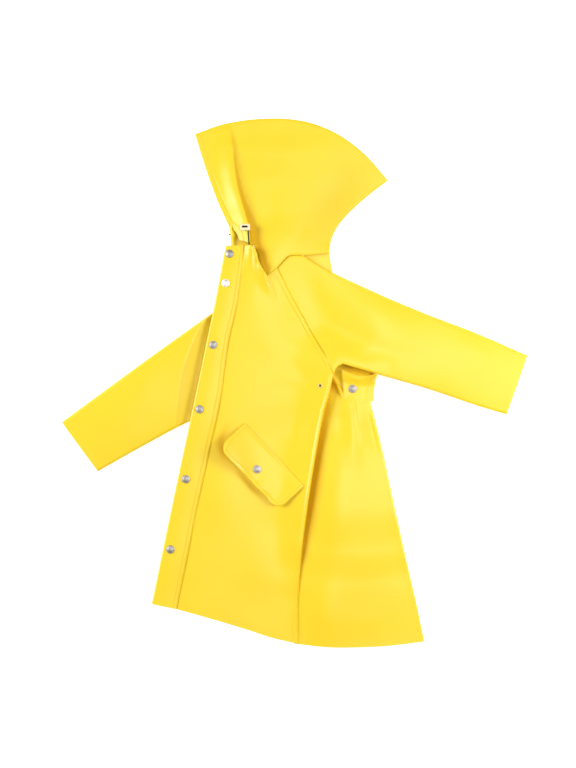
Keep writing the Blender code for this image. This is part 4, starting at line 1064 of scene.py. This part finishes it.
def sew(name, tree, line):
    """A row of stitches along a line on a piece of cloth."""
    steps = np.linalg.norm(np.diff(line, axis=0), axis=1)
    stops = np.concatenate([[0.0], np.cumsum(steps)])
    points, faces = [], []
    for at in np.arange(PITCH / 2.0, stops[-1], PITCH):
        x, y = (float(np.interp(at, stops, line[:, i])) for i in (0, 1))
        ahead = [float(np.interp(at + 0.5, stops, line[:, i])
                       - np.interp(at - 0.5, stops, line[:, i])) for i in (0, 1)]
        z, normal = drop(tree, x, y)
        if z is None or normal.z < 0.3:
            continue
        along = Vector((*ahead, 0.0))
        along = (along - normal * along.dot(normal)).normalized()
        turn = Matrix((along, normal.cross(along), normal)).transposed()
        spot = placed(x, y, z) + normal * ON_CLOTH * MM
        base = len(points)
        points += [spot + turn @ Vector(p) for p in stitch_points]
        faces += [tuple(base + i for i in f) for f in stitch_faces]
    mesh = bpy.data.meshes.new(name)
    mesh.from_pydata([p[:] for p in points], [], faces)
    mesh.materials.append(thread)
    row = bpy.data.objects.new(name, mesh)
    bpy.context.scene.collection.objects.link(row)
    mesh.shade_smooth()
    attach(row, "root")
    print(name, len(points) // len(stitch_points), "stitches")


def beside(line, offset):
    """A line that runs at a distance to the left of another."""
    ahead = np.gradient(line, axis=0)
    ahead /= np.linalg.norm(ahead, axis=1)[:, None]
    return line + np.stack([-ahead[:, 1], ahead[:, 0]], axis=1) * offset


# %% Rows of stitches
placket_tree, arm_tree, hood_tree = tree_of(placket), tree_of(left_sleeve), tree_of(left_hood)
flap_tree, belt_tree, back_tree = tree_of(pocket_flap), tree_of(half_belt), tree_of(back)
sew("placket_inner_row", placket_tree, beside(line_of(PLACKET_INNER, 240), -STITCH_INSET))
sew("placket_edge_row", placket_tree, beside(line_of(PLACKET_INNER, 240), -1.4))
sew("raglan_row", front_tree, beside(line_of(RAGLAN, 120), -6.0)[6:-12])
sew("hood_edge_row", hood_tree, beside(line_of(HOOD_FRONT_EDGE, 120), HOOD_HEM)[3:])
side_shares = np.linspace(0.05, 1.0, 40)
flap_side = np.concatenate([flap_outline(side_shares, 0.0),
                            flap_outline(1.0, np.linspace(0.0, 1.0, 80))[1:],
                            flap_outline(side_shares[::-1], 1.0)[1:]])
sew("flap_row", flap_tree, beside(flap_side, FLAP_INSET))
sew("side_seam_row_left", front_tree, line_of([(-4.0, -372.0), (-4.5, -395.0), (-4.5, -413.5)], 20))
sew("side_seam_row_right", back_tree, line_of([(10.0, -372.0), (11.0, -395.0), (11.5, -413.5)], 20))

# %% [markdown]
# ## Snaps, eyelet, toggle and cord
# The snap caps are nickel-plated brass, drawn into shallow domes with a rolled rim, and scuffed,
# so their gloss is uneven. The second from the top is given a much brighter nickel colour, a
# painted glare that stands in for a light reflected in it.
# The vent eyelet is enamelled brass, in a shade near the cloth's. The hood's cord is braided
# polyester, dark and dull, and ends in a toggle moulded in cream acetal, which has a soft gloss.

# %% Metal and plastic
nickel, nickel_tree, nickel_shader = new_material("nickel_plated_brass")
nickel_place = add_node(nickel_tree, "ShaderNodeTexCoord").outputs["Object"]
scuff = add_node(nickel_tree, "ShaderNodeTexNoise", inputs={"Scale": 1.0 / (1.4 * MM), "Detail": 4.0},
                 links={"Vector": nickel_place})
scuff_range = add_node(nickel_tree, "ShaderNodeMapRange", inputs={"To Min": 0.36, "To Max": 0.6},
                       links={"Value": scuff.outputs["Fac"]})
nickel_tree.links.new(scuff_range.outputs["Result"], nickel_shader.inputs["Roughness"])
nickel_shader.inputs["Base Color"].default_value = hex_colour("#B0ACAA")
nickel_shader.inputs["Metallic"].default_value = 1.0

# This brighter nickel is a painted glare for the second snap.
painted_glare_finish, glare_tree, glare_shader = new_material("nickel_with_painted_glare")
glare_shader.inputs["Base Color"].default_value = hex_colour("#F6F5F2")
glare_shader.inputs["Metallic"].default_value = 1.0
glare_shader.inputs["Roughness"].default_value = 0.5

enamel = mottled("enamelled_brass", "#D8C06A", "#E6D28C", 0.8, 0.35)
cream = mottled("moulded_acetal", "#E2D6AC", "#EBE0BC", 3.0, 0.35)

dark, dark_tree, dark_shader = new_material("braided_polyester_cord")
dark_place = add_node(dark_tree, "ShaderNodeTexCoord").outputs["Object"]
braid = add_node(dark_tree, "ShaderNodeTexWave", inputs={"Scale": 1.0 / (6.0 * MM), "Distortion": 1.0},
                 links={"Vector": dark_place})
braid_tint = ramp(dark_tree, braid.outputs["Fac"], (0.2, hex_colour("#0C0705")),
                  (0.8, hex_colour("#1C120A")))
dark_tree.links.new(braid_tint.outputs["Color"], dark_shader.inputs["Base Color"])
dark_shader.inputs["Roughness"].default_value = 0.7
print("finishes:", [finish.name for finish in (nickel, painted_glare_finish, enamel, cream, dark)])


# %% Snap caps
def seat(piece, spot, normal):
    """Turn and move the piece's own points, so that its object stays at the origin."""
    turn = normal.to_track_quat("Z", "Y").to_matrix().to_4x4()
    piece.data.transform(Matrix.Translation(spot) @ turn)
    piece.data.update()


def surface_at(tree, x, y, reach=5.0):
    """Middle and mean normal of the cloth round a place."""
    normals, heights = Vector(), []
    for dx, dy in ((0, 0), (reach, 0), (-reach, 0), (0, reach), (0, -reach)):
        z, normal = drop(tree, x + dx, y + dy)
        if z is not None:
            normals += normal
            heights.append(z)
    return placed(x, y, sum(heights) / len(heights)), normals.normalized()


CAP_RADIUS, CAP_RISE = 6.7, 0.25
DOME = ((0.45, 0.42), (0.5, 0.12), (0.35, -0.12), (0.9, 0.42), (1.3, 0.34), (1.4, 0.2), (1.2, 0.07))


def cap(name, finish):
    """A flat disc whose top is drawn up by insets into a dome with a rolled rim."""
    bpy.ops.object.select_all(action="DESELECT")
    bpy.ops.mesh.primitive_cylinder_add(vertices=48, radius=CAP_RADIUS * MM, depth=0.8 * MM,
                                        location=(0.0, 0.0, 0.1 * MM))
    made = bpy.context.object
    made.name = made.data.name = name
    bpy.ops.object.transform_apply(location=True, rotation=True, scale=True)
    pick_faces(made, lambda face: face.normal.z > 0.9)
    for step_in, step_up in DOME:
        bpy.ops.mesh.inset(thickness=step_in * MM, depth=0.0, use_boundary=True)
        bpy.ops.transform.translate(value=(0.0, 0.0, step_up * MM))
    bpy.ops.object.mode_set(mode="OBJECT")
    bpy.ops.object.shade_smooth_by_angle(angle=math.radians(60.0))
    made.data.materials.append(finish)
    return made


cap_places = [(name, placket_tree, x, y) for name, x, y in SNAPS]
cap_places += [("snap_pocket", flap_tree, *SNAP_POCKET), ("snap_belt", belt_tree, *SNAP_BELT)]
for name, tree, x, y in cap_places:
    made = cap(name + "_cap", painted_glare_finish if name == "snap_2" else nickel)
    spot, normal = surface_at(tree, x, y)
    seat(made, spot + normal * CAP_RISE * MM, normal)
    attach(made, "root")
    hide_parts(name)
print(len(cap_places), "snap caps")

# %% Vent eyelet
bpy.ops.object.select_all(action="DESELECT")
bpy.ops.mesh.primitive_torus_add(major_radius=2.9 * MM, minor_radius=1.0 * MM, major_segments=40,
                                 minor_segments=14)
eyelet = bpy.context.object
eyelet.name = eyelet.data.name = "vent_eyelet_ring"
bpy.ops.object.mode_set(mode="EDIT")
bpy.ops.mesh.select_all(action="SELECT")
bpy.ops.transform.resize(value=(1.0, 1.0, 0.6), center_override=(0.0, 0.0, 0.0))
bpy.ops.object.mode_set(mode="OBJECT")
bpy.ops.object.shade_smooth()
spot, normal = surface_at(front_tree, *EYELET, 6.0)
seat(eyelet, spot, normal)
eyelet.data.materials.append(enamel)
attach(eyelet, "root")
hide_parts("vent_eyelet")
print("eyelet", len(eyelet.data.polygons), "faces")

# %% Toggle
TOGGLE, TOGGLE_SIZE = (-79.0, 247.5, 20.5), (15.2, 10.6, 5.8)
SLOT_MIDDLE = (-0.6, 0.8)   # where the cord's slot lies on its face
bpy.ops.object.select_all(action="DESELECT")
bpy.ops.mesh.primitive_cube_add(size=1.0)
toggle = bpy.context.object
toggle.name = toggle.data.name = "cord_toggle"
toggle.scale = Vector(TOGGLE_SIZE) * MM
bpy.ops.object.transform_apply(location=True, rotation=True, scale=True)
pick_faces(toggle, lambda face: face.normal.z > 0.9)
bpy.ops.mesh.inset(thickness=2.9 * MM, depth=0.0)
bpy.ops.transform.resize(value=(1.0, 0.62, 1.0), center_override=(0.0, 0.0, 0.0))
bpy.ops.transform.translate(value=(SLOT_MIDDLE[0] * MM, SLOT_MIDDLE[1] * MM, 0.0))
bpy.ops.mesh.extrude_region_move(TRANSFORM_OT_translate={"value": (0.0, 0.0, -2.6 * MM)})
bpy.ops.object.mode_set(mode="OBJECT")
soften = toggle.modifiers.new("soft_edges", "BEVEL")
soften.width = 1.7 * MM
soften.segments = 4
soften.limit_method = "ANGLE"
bpy.ops.object.modifier_apply(modifier=soften.name)
bpy.ops.object.shade_smooth_by_angle(angle=math.radians(40.0))
toggle_place = placed(*TOGGLE)
toggle.data.transform(Matrix.Translation(toggle_place))
toggle.data.materials.append(cream)
toggle.data.materials.append(dark)
for face in toggle.data.polygons:
    x, y, z = (face.center - toggle_place) / MM
    if -1.0 < z < 1.2 and abs(x - SLOT_MIDDLE[0]) < 4.6 and abs(y - SLOT_MIDDLE[1]) < 1.9:
        face.material_index = 1     # the slot's floor and walls are dark with cord
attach(toggle, "root")
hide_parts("toggle")
print("toggle", len(toggle.data.polygons), "faces")


# %% Hood cord
def round_cord(name, route, radius, count):
    """A cord along a route: its object, its length, and the places it goes through."""
    spots = run([(x - MIDDLE[0], y - MIDDLE[1], z) for x, y, z in route])(np.linspace(0.0, 1.0, count))
    curve = bpy.data.curves.new(name, "CURVE")
    curve.dimensions = "3D"
    line = curve.splines.new("POLY")
    line.points.add(count - 1)
    for point, spot in zip(line.points, spots * MM):
        point.co = (*spot, 1.0)
    curve.bevel_depth = radius * MM
    curve.bevel_resolution = 3
    curve.use_fill_caps = True
    curve.materials.append(dark)
    made = bpy.data.objects.new(name, curve)
    bpy.context.scene.collection.objects.link(made)
    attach(made, "root")
    return made, float(np.linalg.norm(np.diff(spots, axis=0), axis=1).sum()), spots


CORD_RADIUS = 1.1
CORD_ROUTE = [(-73.0, 220.6, 10.5), (-73.0, 220.7, 14.8), (-73.1, 223.0, 18.8), (-73.4, 227.5, 20.2),
              (-74.0, 236.0, 20.5), (-74.0, 243.0, 20.5), (-74.0, 250.0, 20.5)]
CORD_STUB = [(*CORD_HOLE, 1.8), (-101.5, 238.0, 1.7), (-105.5, 237.0, 1.6)]
hood_cord, cord_length, cord_spots = round_cord("hood_cord", CORD_ROUTE, CORD_RADIUS, 24)
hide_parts("drawcord_left")
cord_tip, tip_length, tip_spots = round_cord("hood_cord_tip", CORD_STUB, CORD_RADIUS, 8)
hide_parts("drawcord_right")
print("cord", round(cord_length, 1), "mm, tip", round(tip_length, 1), "mm")

# %% [markdown]
# ## Floor and light
# The coat lies on a plain white floor in a bright, warm room. Two soft lights stand low to the
# left and the right, a little uneven, and give the folds their shape. A third hangs overhead.

# %% Floor
bpy.ops.object.select_all(action="DESELECT")
bpy.ops.mesh.primitive_plane_add(size=12.0, location=(0.0, 0.0, -0.0004))
floor = bpy.context.object
floor.name = "studio_floor"
white, white_tree, white_shader = new_material("white_paper")
white_shader.inputs["Base Color"].default_value = hex_colour("#F7F7F7")
white_shader.inputs["Roughness"].default_value = 0.9
white_shader.inputs["Emission Color"].default_value = (1.0, 1.0, 1.0, 1.0)
white_shader.inputs["Emission Strength"].default_value = 0.6
floor.data.materials.append(white)
print("floor", tuple(round(side, 2) for side in floor.dimensions))

# %% Light
world = bpy.context.scene.world or bpy.data.worlds.new("bright_room")
bpy.context.scene.world = world
world.use_nodes = True
room = world.node_tree.nodes["Background"]
room.inputs["Color"].default_value = hex_colour("#FFF5D2")
room.inputs["Strength"].default_value = 0.22


def soft_light(name, azimuth, elevation, distance, size, power):
    """A square light that looks at the coat; azimuth 0 is +X, 90 is +Y."""
    a, e = math.radians(azimuth), math.radians(elevation)
    place = Vector((math.cos(a) * math.cos(e), math.sin(a) * math.cos(e), math.sin(e))) * distance
    bpy.ops.object.light_add(type="AREA", location=place)
    lamp = bpy.context.object
    lamp.name = name
    lamp.rotation_euler = (-place).to_track_quat("-Z", "Y").to_euler()
    lamp.data.shape = "SQUARE"
    lamp.data.size = size
    lamp.data.energy = power
    print(name, power, "W")


soft_light("left_key", 168.0, 31.0, 3.0, 1.4, 80.0)
soft_light("right_key", 4.0, 33.0, 1.6, 0.7, 18.5)
soft_light("overhead_panel", 10.0, 80.0, 3.6, 1.5, 40.0)
bpy.context.scene.view_settings.view_transform = "Standard"
